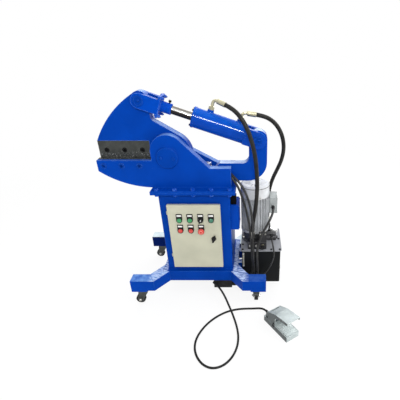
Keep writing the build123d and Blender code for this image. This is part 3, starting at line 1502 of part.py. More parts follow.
with BuildPart() as hood:
    with BuildSketch(facing(PEDAL_W / 2)):
        with BuildLine():
            Polyline(
                *hood_profile(0),
                (PEDAL_L, HOOD_FRONT_H - VISOR_LIP),
                (HOOD_WALL_END + 10, HOOD_MID_H - VISOR_LIP),
                (HOOD_WALL_END, HOOD_MID_H - VISOR_LIP - 12),
                (HOOD_WALL_END, PEDAL_H),
                close=True,
            )
        make_face()
    extrude(amount=PEDAL_W)
    fillet(hood.edges().filter_by(Axis.Y).group_by(Axis.Z)[-1], 2)
    with BuildSketch(facing(PEDAL_W / 2 - HOOD_WALL)):
        with BuildLine():
            Polyline(*hood_profile(HOOD_WALL), (PEDAL_L + HOOD_WALL, PEDAL_H), close=True)
        make_face()
    extrude(amount=PEDAL_W - 2 * HOOD_WALL, mode=Mode.SUBTRACT)
    with BuildSketch(Plane.XY.offset(HOOD_MID_H)):
        with Locations((HOOD_BACK + HOOD_LEAN + 8, 0)):
            SlotOverall(SLOT_L, SLOT_H, rotation=90)
    extrude(amount=-HOOD_MID_H / 2, mode=Mode.SUBTRACT)
with BuildPart(pedal_frame) as pedal_hood:
    add(hood.part)
save(pedal_hood, "pedal_hood")

# Pedal cord: from the cable box to the floor, round a loop that passes under itself, to the pedal
pedal_gland = Vector(PEDAL_X, PEDAL_Y, PEDAL_H / 2) - pedal_along * GLAND_L
pedal_lead = pedal_gland - pedal_along * PEDAL_LEAD
floor_z = PEDAL_CORD_D / 2 + CORD_LIFT
pedal_cord_points = [
    tuple(cord_tip),
    tuple(cord_tip + Vector(*CORD_EXIT_DIR).normalized() * CORD_LEAD),
    (141, -248, 50),
    (163, -293, 32),
    (185, -341, 18),
    (204, -393, 9),
    (219, -448, floor_z),
    (226, -508, floor_z),
    (220, -566, floor_z),
    (198, -622, floor_z),
    (162, -662, floor_z),
    (116, -677, floor_z),
    (72, -660, floor_z),
    (37, -620, floor_z),
    (16, -570, floor_z),
    (13, -515, floor_z),
    (28, -460, floor_z),
    (58, -404, floor_z),
    (100, -356, floor_z),
    (146, -322, floor_z),
    (190, -304, floor_z),
    (230, -296, floor_z),
    (265, -294, floor_z),
    (299, -295, floor_z + 1.5),
    (335, -297, floor_z + 6),
    tuple(pedal_lead),
    tuple(pedal_gland),
]
pedal_tube = cord(pedal_cord_points, PEDAL_CORD_D, "pedal cord")
with BuildPart() as pedal_cord:
    add(pedal_tube)
save(pedal_cord, "pedal_cord")
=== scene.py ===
import logging
import math
from abc import ABC, abstractmethod
from collections.abc import Sequence
from dataclasses import dataclass
from enum import Enum

import bmesh
import bpy
from mathutils import Matrix, Vector


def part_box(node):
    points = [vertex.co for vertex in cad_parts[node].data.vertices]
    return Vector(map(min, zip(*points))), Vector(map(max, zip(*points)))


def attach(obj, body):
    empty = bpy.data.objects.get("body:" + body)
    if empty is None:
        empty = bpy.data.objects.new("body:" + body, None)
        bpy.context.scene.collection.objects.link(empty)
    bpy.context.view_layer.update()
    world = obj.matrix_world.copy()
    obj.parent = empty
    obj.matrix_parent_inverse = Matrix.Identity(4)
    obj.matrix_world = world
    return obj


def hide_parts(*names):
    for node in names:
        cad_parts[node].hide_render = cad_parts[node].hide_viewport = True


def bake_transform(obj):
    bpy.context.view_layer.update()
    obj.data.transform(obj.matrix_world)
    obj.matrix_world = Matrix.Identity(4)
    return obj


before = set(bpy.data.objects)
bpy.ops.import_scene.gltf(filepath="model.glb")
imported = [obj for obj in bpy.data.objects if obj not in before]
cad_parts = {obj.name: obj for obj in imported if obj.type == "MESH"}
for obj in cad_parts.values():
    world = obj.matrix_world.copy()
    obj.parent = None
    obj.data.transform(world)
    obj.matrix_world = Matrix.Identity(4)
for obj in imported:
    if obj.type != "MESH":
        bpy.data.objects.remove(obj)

LOG = logging.getLogger("shear")
Point = tuple[float, float, float]
Colour = tuple[float, float, float]
Ring = tuple[float, float]
Run = tuple[Point, Point, float]
Piece = bpy.types.Object
Socket = bpy.types.NodeSocket
Feed = Socket | float | Sequence[float]

MM = 0.001
HOME = Matrix.Identity(4)
FRONT, BACK, RIGHT, UP, DOWN = (0, -1, 0), (0, 1, 0), (1, 0, 0), (0, 0, 1), (0, 0, -1)
ENDS = (-1, 1)
BACKGROUND_RAYS = ("Is Camera Ray", "Is Glossy Ray", "Is Transmission Ray")
BUMP_STRENGTH = 0.6
BEVEL_SAMPLES = 4
COAT_ROUGHNESS = 0.09
GLINT_FADE = 0.03
SQUARE_EDGE = (0.995, 0.8)
SAME_SIDE = 0.9
MERGE = 1e-6
SMOOTH_ANGLE = 35.0
BLOCK_ANGLE = 40.0
CORD_ANGLE = 50.0
CORD_STEPS = 10
CORD_ROUND = 5
BEAD_SIDES = 10
BEAD_FEWEST = 4
BEAD_PITCH = 0.9
BEAD_TIP = 0.45
BEAD_RIPPLE = (0.88, 0.09, 0.05, 2.4)


class Body(Enum):
    """Bodies of the machine that pieces ride on."""

    FRAME = "frame"
    CYLINDER = "cylinder"
    ROD = "rod"
    DOOR = "door"
    SELECTOR = "mode_selector"
    STOP = "emergency_stop"
    LOCK = "door_lock"
    SWIVEL_FRONT_LEFT = "swivel_front_left"
    SWIVEL_FRONT_RIGHT = "swivel_front_right"
    SWIVEL_REAR_LEFT = "swivel_rear_left"
    SWIVEL_REAR_RIGHT = "swivel_rear_right"


class Lay(Enum):
    """How a cord lies."""

    HANGING = "hanging"
    LOOSE = "loose"


class Corner(Enum):
    """Casters by the corner that they stand under, with the heading that each was left at, in degrees."""

    FRONT_LEFT = ("front_left", 0.0)
    FRONT_RIGHT = ("front_right", 270.0)
    REAR_LEFT = ("rear_left", 0.0)
    REAR_RIGHT = ("rear_right", 70.0)

    def __init__(self, label: str, heading: float) -> None:
        """Take the corner's label and the heading of its caster."""
        self.label = label
        self.heading = math.radians(heading)

    def centre(self) -> Vector:
        """Return the middle of the wheel, in metres."""
        low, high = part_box(f"caster_wheel_{self.label}")
        return (Vector(low) + Vector(high)) / 2

    def axle(self) -> Vector:
        """Return the direction of the wheel's axle."""
        return Vector((-math.sin(self.heading), math.cos(self.heading), 0.0))


def metres(point: Sequence[float]) -> Vector:
    """Return a point given in millimetres as a vector in metres."""
    return Vector(point) * MM


def shift(*point: float) -> Matrix:
    """Return the matrix that moves a piece from the origin to a point given in millimetres."""
    return Matrix.Translation(metres(point))


def circle(radius: float, count: int, start: float = 0.0) -> list[Ring]:
    """Return places spread around a circle, the first one at an angle in degrees."""
    turns = [math.radians(start + 360 * i / count) for i in range(count)]
    return [(radius * math.cos(turn), radius * math.sin(turn)) for turn in turns]


def toned(colour: Colour, share: float, lift: float = 0.0) -> Colour:
    """Return a colour times a share and raised by a lift, up to white."""
    return tuple(min(1.0, c * share + lift) for c in colour)


class Wiring:
    """Nodes of one tree, with short ways to add them and join them."""

    def __init__(self, tree: bpy.types.NodeTree) -> None:
        """Take over the nodes and links of a tree."""
        self.nodes = tree.nodes
        self.links = tree.links

    def feed(self, node: bpy.types.Node, feeds: dict[str | int, Feed]) -> None:
        """Feed inputs of a node.

        Args:
            node: Node to feed.
            feeds: Socket to link or value to set for each input, by its name or number.
        """
        for key, feed in feeds.items():
            if isinstance(feed, Socket):
                self.links.new(feed, node.inputs[key])
            else:
                node.inputs[key].default_value = feed

    def add(self, kind: str, feeds: dict[str | int, Feed], operation: str = "") -> bpy.types.Node:
        """Add a node and feed its inputs.

        Args:
            kind: Type of the node, without the start that all types share.
            feeds: Socket or value for each input, by its name or number.
            operation: What the node does, where it can do several things.

        Returns:
            The node.
        """
        node = self.nodes.new(f"ShaderNode{kind}")
        if operation:
            node.operation = operation
        self.feed(node, feeds)
        return node

    def maths(self, operation: str, *feeds: Feed) -> Socket:
        """Return the socket with the result of an operation on patterns or numbers."""
        return self.add("Math", dict(enumerate(feeds)), operation).outputs["Value"]

    def vectors(self, operation: str, *feeds: Feed) -> bpy.types.NodeOutputs:
        """Return the outputs of an operation on vectors."""
        return self.add("VectorMath", dict(enumerate(feeds)), operation).outputs

    def step(
        self, source: Socket, low: float, high: float, to_low: float = 0.0, to_high: float = 1.0
    ) -> Socket:
        """Return a pattern whose range from low to high is stretched over another range and clamped."""
        feeds = {"Value": source, "From Min": low, "From Max": high, "To Min": to_low, "To Max": to_high}
        return self.add("MapRange", feeds).outputs["Result"]

    def seen(self) -> Socket:
        """Find the rays that show the background, directly or in metal and glass.

        Returns:
            The socket that is 1 for any of them.
        """
        path = self.add("LightPath", {}).outputs
        found = path[BACKGROUND_RAYS[0]]
        for ray in BACKGROUND_RAYS[1:]:
            found = self.maths("MAXIMUM", found, path[ray])
        return found


class Recipe(Wiring):
    """Material under way, whose patterns follow the piece's own coordinates."""

    def __init__(self, name: str) -> None:
        """Start a material with a plain shader.

        Args:
            name: Name of the material.
        """
        self.material = bpy.data.materials.new(name)
        self.material.use_nodes = True
        super().__init__(self.material.node_tree)
        self.shader = self.nodes["Principled BSDF"]
        self.place = self.add("TexCoord", {}).outputs["Object"]

    def shade(self, **feeds: Feed) -> None:
        """Give the shader patterns and plain values, by its inputs' names in lower case with underscores."""
        names = {socket.name.lower().replace(" ", "_"): socket.name for socket in self.shader.inputs}
        self.feed(self.shader, {names[key]: feed for key, feed in feeds.items()})

    def normal(self) -> Socket:
        """Return the socket with the direction that the surface faces."""
        return self.add("NewGeometry", {}).outputs["Normal"]

    def moved(self, scale: Point, turn: Point = (0, 0, 0)) -> Socket:
        """Return the piece's coordinates, stretched along X, Y and Z and turned about them by radians."""
        feeds = {"Vector": self.place, "Rotation": turn, "Scale": scale}
        return self.add("Mapping", feeds).outputs["Vector"]

    def noise(
        self, scale: float, detail: float = 4.0, roughness: float = 0.55, place: Socket | None = None
    ) -> Socket:
        """Return a cloudy pattern around 0.5, of some waves per metre and octaves of finer waves."""
        feeds = {"Vector": place or self.place, "Scale": scale, "Detail": detail, "Roughness": roughness}
        return self.add("TexNoise", feeds).outputs["Fac"]

    def cells(self, scale: float) -> Socket:
        """Return a pattern of some cells per metre, dark at each cell's middle."""
        return self.add("TexVoronoi", {"Vector": self.place, "Scale": scale}).outputs["Distance"]

    def times(self, first: Socket, second: Socket | float) -> Socket:
        """Return the product of two patterns."""
        return self.maths("MULTIPLY", first, second)

    def part(self, vector: Socket, axis: str) -> Socket:
        """Return one coordinate of a vector, by its letter."""
        return self.add("SeparateXYZ", {0: vector}).outputs[axis]

    def around(self, centre: Point, axis: Point) -> Socket:
        """Return the distance from an axis, given by a point on it in metres and its direction."""
        across = self.vectors("CROSS_PRODUCT", self.vectors("SUBTRACT", self.place, centre)["Vector"], axis)
        return self.vectors("LENGTH", across["Vector"])["Value"]

    def upward(self, start: float, full: float) -> Socket:
        """Return a mask of what faces up, between two shares of the normal: where it starts and is full."""
        return self.step(self.part(self.normal(), "Z"), start, full)

    def facing(self, axis: Point, start: float, full: float) -> Socket:
        """Return a mask of what faces along an axis, to either side, between two shares of the normal."""
        along = self.vectors("DOT_PRODUCT", self.normal(), axis)["Value"]
        return self.step(self.maths("ABSOLUTE", along), start, full)

    def blend(self, factor: Socket, first: Socket | Colour, second: Socket | Colour) -> Socket:
        """Mix two colours by a pattern.

        Args:
            factor: Socket with the pattern, 0 for the first colour and 1 for the second.
            first: Colour or socket.
            second: Colour or socket.

        Returns:
            The socket with the mixed colour.
        """
        node = self.add("Mix", {})
        node.data_type = "RGBA"
        first, second = ((*end, 1.0) if isinstance(end, tuple) else end for end in (first, second))
        self.feed(node, {"Factor": factor, 6: first, 7: second})
        return node.outputs[2]

    def relief(self, height: Socket, depth: float, edge: float = 0.0) -> None:
        """Give the shader a fine relief, on edges that are a little rounded.

        Args:
            height: Socket with the pattern of heights.
            depth: Height of the pattern, in metres.
            edge: Radius of the rounded edges, in metres, or 0 for sharp ones.
        """
        feeds = {"Strength": BUMP_STRENGTH, "Distance": depth, "Height": height}
        if edge:
            feeds["Normal"] = self.rounded(edge)
        self.shade(normal=self.add("Bump", feeds).outputs["Normal"])

    def rounded(self, radius: float) -> Socket:
        """Round the edges for the light alone.

        Args:
            radius: How far from an edge its turn reaches, in metres.

        Returns:
            The socket with the normals.
        """
        node = self.add("Bevel", {"Radius": radius})
        node.samples = BEVEL_SAMPLES
        return node.outputs["Normal"]

    def edges(self, radius: float) -> Socket:
        """Return a mask of what lies within a radius in metres of the piece's edges, 1 on a square one."""
        bent = self.vectors("DOT_PRODUCT", self.rounded(radius), self.normal())["Value"]
        return self.step(bent, *SQUARE_EDGE)


@dataclass(frozen=True)
class Finish(ABC):
    """Surface of a piece, which can mix its own material."""

    name: str

    def make(self) -> bpy.types.Material:
        """Mix the material.

        Returns:
            The material, ready to use.
        """
        mix = Recipe(self.name)
        self.fill(mix)
        return mix.material

    @abstractmethod
    def fill(self, mix: Recipe) -> None:
        """Fill the recipe of the material."""


@dataclass(frozen=True)
class Enamel(Finish):
    """Sprayed enamel with orange peel, uneven gloss and pale edges, a painted highlight broken up like wear.

    What faces up may be paler by a share, a painted sheen, and near the machine's middle the tops may carry
    pale flecks, a painted reflection. Where the upward share of the normal lies in the glint's range, the
    clear coat is at its full strength.
    """

    colour: Colour
    pale: Colour
    roughness: float = 0.3
    coat: float = 0.0
    specular: float = 0.025
    peel: float = 0.0004
    edge: float = 0.0012
    wear_sheen_reach: float = 0.0022
    top: float = 0.0
    top_sheen_colour: Colour = (0.30, 0.52, 0.90)
    top_sheen_slope: Ring = (0.3, 0.7)
    top_sheen_even: float = 0.45
    top_sheen_fade: Ring | None = None
    fleck_reflection: Colour | None = None
    fleck_reflection_reach: Ring = (0.250, 0.276)
    glint: Ring | None = None

    def fill(self, mix: Recipe) -> None:
        """Mix the paint.

        Args:
            mix: Recipe to fill.
        """
        cloud = mix.step(mix.noise(7.0, 3.0), 0.35, 0.68)
        tone = mix.blend(cloud, self.colour, toned(self.colour, 0.86))
        # Pale edges: a painted highlight, broken up by noise like wear.
        edge_wear_sheen = mix.times(mix.edges(self.wear_sheen_reach), mix.step(mix.noise(38.0), 0.38, 0.6, 0.1, 0.55))
        tone = mix.blend(edge_wear_sheen, tone, self.pale)
        # Upward faces turn paler in clouds: a painted sheen, fading along X where asked.
        if self.top:
            cloud = mix.step(mix.noise(24.0, 5.0, 0.65), 0.34, 0.66, self.top_sheen_even * self.top, self.top)
            if self.top_sheen_fade:
                cloud = mix.times(cloud, mix.step(mix.part(mix.place, "X"), *self.top_sheen_fade, 1.0, 0.2))
            tone = mix.blend(mix.times(mix.upward(*self.top_sheen_slope), cloud), tone, self.top_sheen_colour)
        # Pale flecks on the tops near the middle: a painted reflection.
        if self.fleck_reflection:
            tone = mix.blend(self.reflection_flecks(mix), tone, self.fleck_reflection)
        gloss = mix.step(mix.noise(21.0, 5.0), 0.3, 0.7, self.roughness - 0.06, self.roughness + 0.1)
        mix.shade(base_color=tone, roughness=gloss, specular_ior_level=self.specular)
        mix.shade(coat_weight=self.coat, coat_roughness=COAT_ROUGHNESS)
        if self.glint:
            low, high = self.glint
            band = mix.times(mix.upward(low - GLINT_FADE, low), mix.upward(high + GLINT_FADE, high))
            mix.shade(coat_weight=mix.step(band, 0.0, 1.0, self.coat, 1.0))
        mix.relief(mix.noise(260.0, 2.0), self.peel, self.edge)

    def reflection_flecks(self, mix: Recipe) -> Socket:
        """Find the pale flecks on the tops near the machine's middle, a painted reflection.

        Args:
            mix: Recipe to fill.

        Returns:
            The socket with the mask.
        """
        near, far = self.fleck_reflection_reach
        aside = mix.vectors("LENGTH", mix.moved((1.0, 0.0, 0.0)))["Value"]
        inner = mix.times(mix.step(aside, far, near), mix.upward(0.6, 0.95))
        flecks = mix.noise(1.0, 5.0, 0.7, mix.moved((34.0, 130.0, 60.0), (0, 0, 0.9)))
        return mix.times(inner, mix.step(flecks, 0.43, 0.56, 0.1, 0.95))


@dataclass(frozen=True)
class TwoTone(Finish):
    """Painted piece whose top is another material, split at a height in millimetres."""

    low: Colour
    top: Colour
    split: float
    top_metal: float = 0.0
    top_gloss: float = 0.4
    specular: float = 0.03

    def fill(self, mix: Recipe) -> None:
        """Mix the two finishes.

        Args:
            mix: Recipe to fill.
        """
        above = mix.step(mix.part(mix.place, "Z"), self.split * MM - 0.0002, self.split * MM)
        cloud = mix.step(mix.noise(14.0), 0.35, 0.7)
        low = mix.blend(cloud, self.low, toned(self.low, 0.82))
        top = mix.blend(cloud, self.top, toned(self.top, 0.8))
        gloss = mix.step(above, 0.0, 1.0, 0.34, self.top_gloss)
        mix.shade(base_color=mix.blend(above, low, top), roughness=gloss, specular_ior_level=self.specular)
        if self.top_metal:
            mix.shade(metallic=mix.times(above, self.top_metal))
        mix.relief(mix.noise(240.0, 2.0), 0.0003, 0.0012)


@dataclass(frozen=True)
class Metal(Finish):
    """Bare or plated metal with grinding lines, smears and brighter edges, chipped between two heights."""

    colour: Colour
    dark: Colour
    roughness: float
    metallic: float = 1.0
    grain: Point = (40.0, 400.0, 400.0)
    depth: float = 0.0001
    spatter: Ring | None = None
    chip: Colour = (0.42, 0.43, 0.42)

    def fill(self, mix: Recipe) -> None:
        """Mix the metal.

        Args:
            mix: Recipe to fill.
        """
        lines = mix.noise(1.0, 3.0, 0.6, mix.moved(self.grain))
        tone = mix.blend(mix.step(mix.noise(26.0, 5.0), 0.36, 0.66), self.colour, self.dark)
        bright = toned(self.colour, 1.7, 0.08)
        marks = mix.times(mix.edges(0.0016), mix.step(lines, 0.35, 0.6, 0.2, 0.8))
        if self.spatter:
            low, high = self.spatter
            near = mix.step(mix.part(mix.place, "Z"), high * MM, low * MM)
            chips = mix.times(near, mix.step(mix.noise(170.0, 5.0, 0.75), 0.55, 0.62))
            bright = mix.blend(chips, bright, self.chip)
            marks = mix.maths("MAXIMUM", marks, chips)
        gloss = mix.step(lines, 0.3, 0.7, self.roughness - 0.07, self.roughness + 0.12)
        mix.shade(base_color=mix.blend(marks, tone, bright), roughness=gloss, metallic=self.metallic)
        mix.relief(lines, self.depth, 0.0006)


@dataclass(frozen=True)
class Chrome(Finish):
    """Polished rod whose colour paints its reflection: bright sides, a grey top and a dark underside."""

    colour: Colour
    belly_reflection: Colour
    ridge_reflection: Colour

    def fill(self, mix: Recipe) -> None:
        """Mix the plating.

        Args:
            mix: Recipe to fill.
        """
        lines = mix.noise(1.0, 3.0, 0.6, mix.moved((900.0, 60.0, 60.0)))
        painted_flank = mix.blend(mix.step(mix.noise(30.0), 0.4, 0.7), self.colour, toned(self.colour, 0.86))
        # Painted reflection: dark where the rod faces down and grey along its top.
        tone = mix.blend(mix.upward(0.10, 0.30), self.belly_reflection, painted_flank)
        tone = mix.blend(mix.upward(0.55, 0.68), tone, self.ridge_reflection)
        mix.shade(base_color=tone, roughness=mix.step(lines, 0.3, 0.7, 0.08, 0.2), metallic=1.0)
        mix.relief(lines, 0.00003)


@dataclass(frozen=True)
class Casting(Finish):
    """Cast metal with a grainy skin, painted thinly, with dust in its hollows and painted shade on its long
    sides.
    """

    colour: Colour
    dust: Colour
    roughness: float = 0.5
    metallic: float = 0.0
    grain: float = 420.0
    depth: float = 0.0006
    painted_flank: float = 1.0
    shaded_side_axis: Point = (0.8192, 0.5736, 0.0)
    specular: float = 0.2

    def fill(self, mix: Recipe) -> None:
        """Mix the skin.

        Args:
            mix: Recipe to fill.
        """
        tone = mix.blend(mix.step(mix.noise(16.0, 5.0), 0.36, 0.68), self.colour, self.dust)
        # Faces along the side axis turn darker: painted shade on the pedal's long sides.
        if self.painted_flank < 1.0:
            tone = mix.blend(mix.facing(self.shaded_side_axis, 0.5, 0.8), tone, toned(self.dust, self.painted_flank))
        tone = mix.blend(mix.times(mix.edges(0.0018), 0.5), tone, toned(self.colour, 1.25, 0.05))
        gloss = mix.step(mix.noise(60.0), 0.3, 0.7, self.roughness - 0.08, self.roughness + 0.14)
        mix.shade(base_color=tone, roughness=gloss, metallic=self.metallic, specular_ior_level=self.specular)
        mix.relief(mix.cells(self.grain), self.depth, 0.0011)


@dataclass(frozen=True)
class Moulding(Finish):
    """Moulded plastic or rubber with a fine grain and a little dust."""

    colour: Colour
    dust: Colour
    roughness: float = 0.45
    grain: float = 900.0
    depth: float = 0.0002
    edge: float = 0.0007
    specular: float = 0.5

    def fill(self, mix: Recipe) -> None:
        """Mix the plastic.

        Args:
            mix: Recipe to fill.
        """
        specks = mix.step(mix.noise(210.0), 0.3, 0.7, 0.2, 0.7)
        dusty = mix.times(mix.step(mix.noise(31.0, 5.0), 0.42, 0.74), specks)
        gloss = mix.step(mix.noise(48.0), 0.3, 0.7, self.roughness - 0.06, self.roughness + 0.12)
        mix.shade(base_color=mix.blend(dusty, self.colour, self.dust), roughness=gloss)
        mix.shade(ior=1.46, specular_ior_level=self.specular)
        mix.relief(mix.noise(self.grain, 2.0), self.depth, self.edge)


@dataclass(frozen=True)
class Lens(Finish):
    """Clear-coated tinted cap with a ribbed inside."""

    colour: Colour
    deep: Colour

    def fill(self, mix: Recipe) -> None:
        """Mix the cap.

        Args:
            mix: Recipe to fill.
        """
        ribs = mix.noise(1.0, 1.0, 0.5, mix.moved((900.0, 20.0, 20.0)))
        tone = mix.blend(mix.step(ribs, 0.4, 0.6), self.colour, self.deep)
        mix.shade(base_color=tone, roughness=mix.step(mix.noise(60.0), 0.3, 0.7, 0.12, 0.25))
        mix.shade(coat_weight=0.8, coat_roughness=0.05, ior=1.49)
        mix.relief(ribs, 0.0002, 0.001)


@dataclass(frozen=True)
class Tyre(Finish):
    """Caster wheel with a paler hub disc and a dark, dusty tread, by the distance from its axle."""

    centre: Point
    axle: Point
    tread: Colour = (0.016, 0.017, 0.018)
    dust: Colour = (0.09, 0.09, 0.085)
    hub: Colour = (0.19, 0.20, 0.20)
    hub_radius: Ring = (0.0176, 0.0186)
    specular: float = 0.12

    def fill(self, mix: Recipe) -> None:
        """Mix the wheel's zones.

        Args:
            mix: Recipe to fill.
        """
        rim = mix.step(mix.around(self.centre, self.axle), *self.hub_radius)
        dust = mix.step(mix.noise(90.0, 6.0, 0.7), 0.45, 0.75, 0.0, 0.5)
        hub = mix.blend(mix.step(mix.noise(40.0), 0.35, 0.7), self.hub, toned(self.hub, 0.7))
        tone = mix.blend(rim, hub, mix.blend(dust, self.tread, self.dust))
        gloss = mix.step(rim, 0.0, 1.0, 0.4, 0.7)
        mix.shade(base_color=tone, roughness=gloss, specular_ior_level=self.specular)
        mix.relief(mix.noise(500.0, 3.0), 0.0004, 0.0008)


PAINT_BLUE = (0.0008, 0.050, 0.378)
STAND_BLUE = (0.0008, 0.045, 0.335)
# Colours of the pale edges: a painted highlight, broken up like wear.
WEAR_SHEEN_BLUE = (0.10, 0.30, 0.80)
SOFT_WEAR_SHEEN_BLUE = (0.06, 0.22, 0.72)
PALE_WEAR_SHEEN_BLUE = (0.20, 0.42, 0.90)
# Colour of the pale flecks on the tops: a painted reflection.
FLECK_REFLECTION_BLUE = (0.56, 0.68, 0.92)
EVEN_GRAIN = (300.0, 300.0, 300.0)
BLUE = Enamel("blue_enamel", STAND_BLUE, SOFT_WEAR_SHEEN_BLUE)
# Upward faces of the barrel turn a brighter blue: a painted sheen.
BLUE_GLOSS = Enamel(
    "blue_gloss_enamel", PAINT_BLUE, SOFT_WEAR_SHEEN_BLUE, 0.22, 0.1, peel=0.0001, top=0.5,
    top_sheen_colour=(0.002, 0.12, 0.62), top_sheen_slope=(0.1, 0.75), glint=(0.31, 0.41),
)
# Pale edges on the clevis and bolts: a painted highlight, broken up like wear.
BLUE_EDGED = Enamel("blue_edged_enamel", (0.0006, 0.056, 0.43), (0.26, 0.50, 0.95), wear_sheen_reach=0.0045)
# Sloping tops of the plates and the jaw arm turn paler: a painted highlight.
BLUE_PLATE = Enamel("blue_plate_enamel", PAINT_BLUE, PALE_WEAR_SHEEN_BLUE, wear_sheen_reach=0.004, top=0.6, top_sheen_slope=(0.55, 0.98))
BLUE_ARM = Enamel(
    "blue_arm_enamel", PAINT_BLUE, PALE_WEAR_SHEEN_BLUE, wear_sheen_reach=0.004, top=0.6, top_sheen_slope=(0.55, 0.98),
    top_sheen_fade=(-0.10, -0.22),
)
# The C-frame's top turns nearly white: a painted highlight.
BLUE_BAR = Enamel(
    "blue_bar_enamel", PAINT_BLUE, WEAR_SHEEN_BLUE, top=0.85, top_sheen_colour=(0.66, 0.80, 0.98),
    top_sheen_slope=(0.5, 0.95),
)
# Leg tops: paler, a painted sheen, with pale flecks near the column, a painted reflection.
BLUE_LEG = Enamel(
    "blue_leg_enamel", PAINT_BLUE, WEAR_SHEEN_BLUE, top=0.7, top_sheen_colour=(0.24, 0.47, 0.88), top_sheen_even=0.2,
    top_sheen_fade=(-0.2, 0.24), fleck_reflection=FLECK_REFLECTION_BLUE,
)
# Base tops near the middle carry pale flecks: a painted reflection.
BLUE_BASE = Enamel(
    "blue_base_enamel", STAND_BLUE, WEAR_SHEEN_BLUE, fleck_reflection=FLECK_REFLECTION_BLUE, fleck_reflection_reach=(0.190, 0.181),
)
# Rear legs: a darker blue, painted shade, with tops nearly white, a painted highlight.
SHADED_REAR_LEG_BLUE = Enamel(
    "blue_rear_leg_enamel", (0.0008, 0.012, 0.11), WEAR_SHEEN_BLUE, top=0.95, top_sheen_colour=(0.84, 0.96, 0.97),
    top_sheen_even=0.7, top_sheen_slope=(0.6, 0.9),
)
CREAM = Enamel("cream_enamel", (0.51, 0.505, 0.385), (0.72, 0.72, 0.62), 0.42, 0.1, 0.3, 0.0006)
BLACK_ENAMEL = Enamel("black_enamel", (0.008, 0.0088, 0.0095), (0.06, 0.06, 0.065), 0.42, 0.0, 0.1)
PALE_GREY = Casting("fan_cover_pressing", (0.66, 0.68, 0.70), (0.54, 0.55, 0.56), 0.45, depth=0.0003)
BOX_GREY = Casting("terminal_casting", (0.40, 0.43, 0.43), (0.30, 0.32, 0.32), 0.5, depth=0.0004)
MOTOR_GREY = Casting("motor_casting", (0.46, 0.48, 0.50), (0.34, 0.35, 0.36), 0.45)
BELL_GREY = Casting("bell_casting", (0.085, 0.09, 0.095), (0.05, 0.052, 0.055), 0.55)
FILLER_TOP = TwoTone("cover_and_filler", (0.29, 0.30, 0.325), (0.78, 0.78, 0.78), 277.0, 0.9, 0.2)
JUNCTION = TwoTone("junction_paint", PAINT_BLUE, (0.004, 0.004, 0.006), 560.2)
BLADE = Metal("blade_steel", (0.062, 0.066, 0.062), (0.038, 0.041, 0.038), 0.42, 0.75, spatter=(817.0, 846.0))
BOLT_BLACK = Metal("black_oxide", (0.011, 0.0115, 0.0125), (0.006, 0.006, 0.007), 0.42, 0.8, EVEN_GRAIN)
# Hard chrome: bright sides, dark underside and grey top, a painted reflection.
CHROME = Chrome("hard_chrome", (0.80, 0.79, 0.74), (0.030, 0.026, 0.027), (0.15, 0.14, 0.128))
BRIGHT = Metal("bright_plate", (0.78, 0.78, 0.77), (0.62, 0.61, 0.59), 0.2, 1.0, EVEN_GRAIN, 0.00004)
ZINC = Metal("zinc_plate", (0.60, 0.59, 0.55), (0.42, 0.41, 0.37), 0.3, 1.0, EVEN_GRAIN)
BRASSY = Metal("yellow_zinc", (0.52, 0.49, 0.34), (0.36, 0.34, 0.24), 0.32, 1.0, EVEN_GRAIN)
CASTER = Metal("caster_zinc", (0.075, 0.08, 0.076), (0.04, 0.042, 0.04), 0.4, 0.8, EVEN_GRAIN)
VALVE = Metal("valve_steel", (0.045, 0.045, 0.048), (0.022, 0.022, 0.024), 0.42, 0.6, EVEN_GRAIN)
# Pedal castings: darker long sides, a painted shade.
ALUMINIUM = Casting("pedal_casting", (0.54, 0.60, 0.60), (0.38, 0.43, 0.43), 0.45, 0.2, 520.0, 0.0004, 0.27)
TREADLE = Casting("treadle_casting", (0.62, 0.68, 0.68), (0.48, 0.54, 0.54), 0.42, 0.2, 380.0, 0.0005, 0.4)
HOSE = Moulding(
    "hose_rubber", (0.009, 0.0088, 0.008), (0.036, 0.035, 0.031), 0.32, 700.0, 0.0003, specular=0.2,
)
CABLE = Moulding(
    "control_cable_sheath", (0.016, 0.0162, 0.016), (0.06, 0.06, 0.056), 0.3, 500.0, 0.0001, specular=0.34,
)
SHEATH = Moulding(
    "pedal_cord_sheath", (0.015, 0.015, 0.0148), (0.042, 0.042, 0.04), 0.38, 500.0, 0.0001, specular=0.1,
)
BLACK = Moulding("black_moulding", (0.009, 0.009, 0.010), (0.04, 0.04, 0.04), 0.42, specular=0.14)
GREEN = Moulding("green_cap", (0.03, 0.25, 0.085), (0.14, 0.42, 0.22), 0.28, specular=0.35)
RED = Moulding("red_cap", (0.52, 0.035, 0.028), (0.74, 0.2, 0.17), 0.28, specular=0.35)
# Pale red ring on the emergency stop: a painted highlight.
HIGHLIGHT_RED = Moulding("pale_red_ring", (0.80, 0.28, 0.22), (0.85, 0.42, 0.36), 0.3)
WHITE = Moulding("blank_label", (0.80, 0.80, 0.78), (0.66, 0.66, 0.63), 0.4)
GEAR_GREY = Moulding("gear_cases", (0.44, 0.45, 0.45), (0.3, 0.3, 0.3), 0.5)
GLASS = Lens("gauge_glass", (0.34, 0.32, 0.24), (0.2, 0.185, 0.13))
LAMP = Lens("lamp_lens", (0.012, 0.17, 0.095), (0.006, 0.09, 0.055))

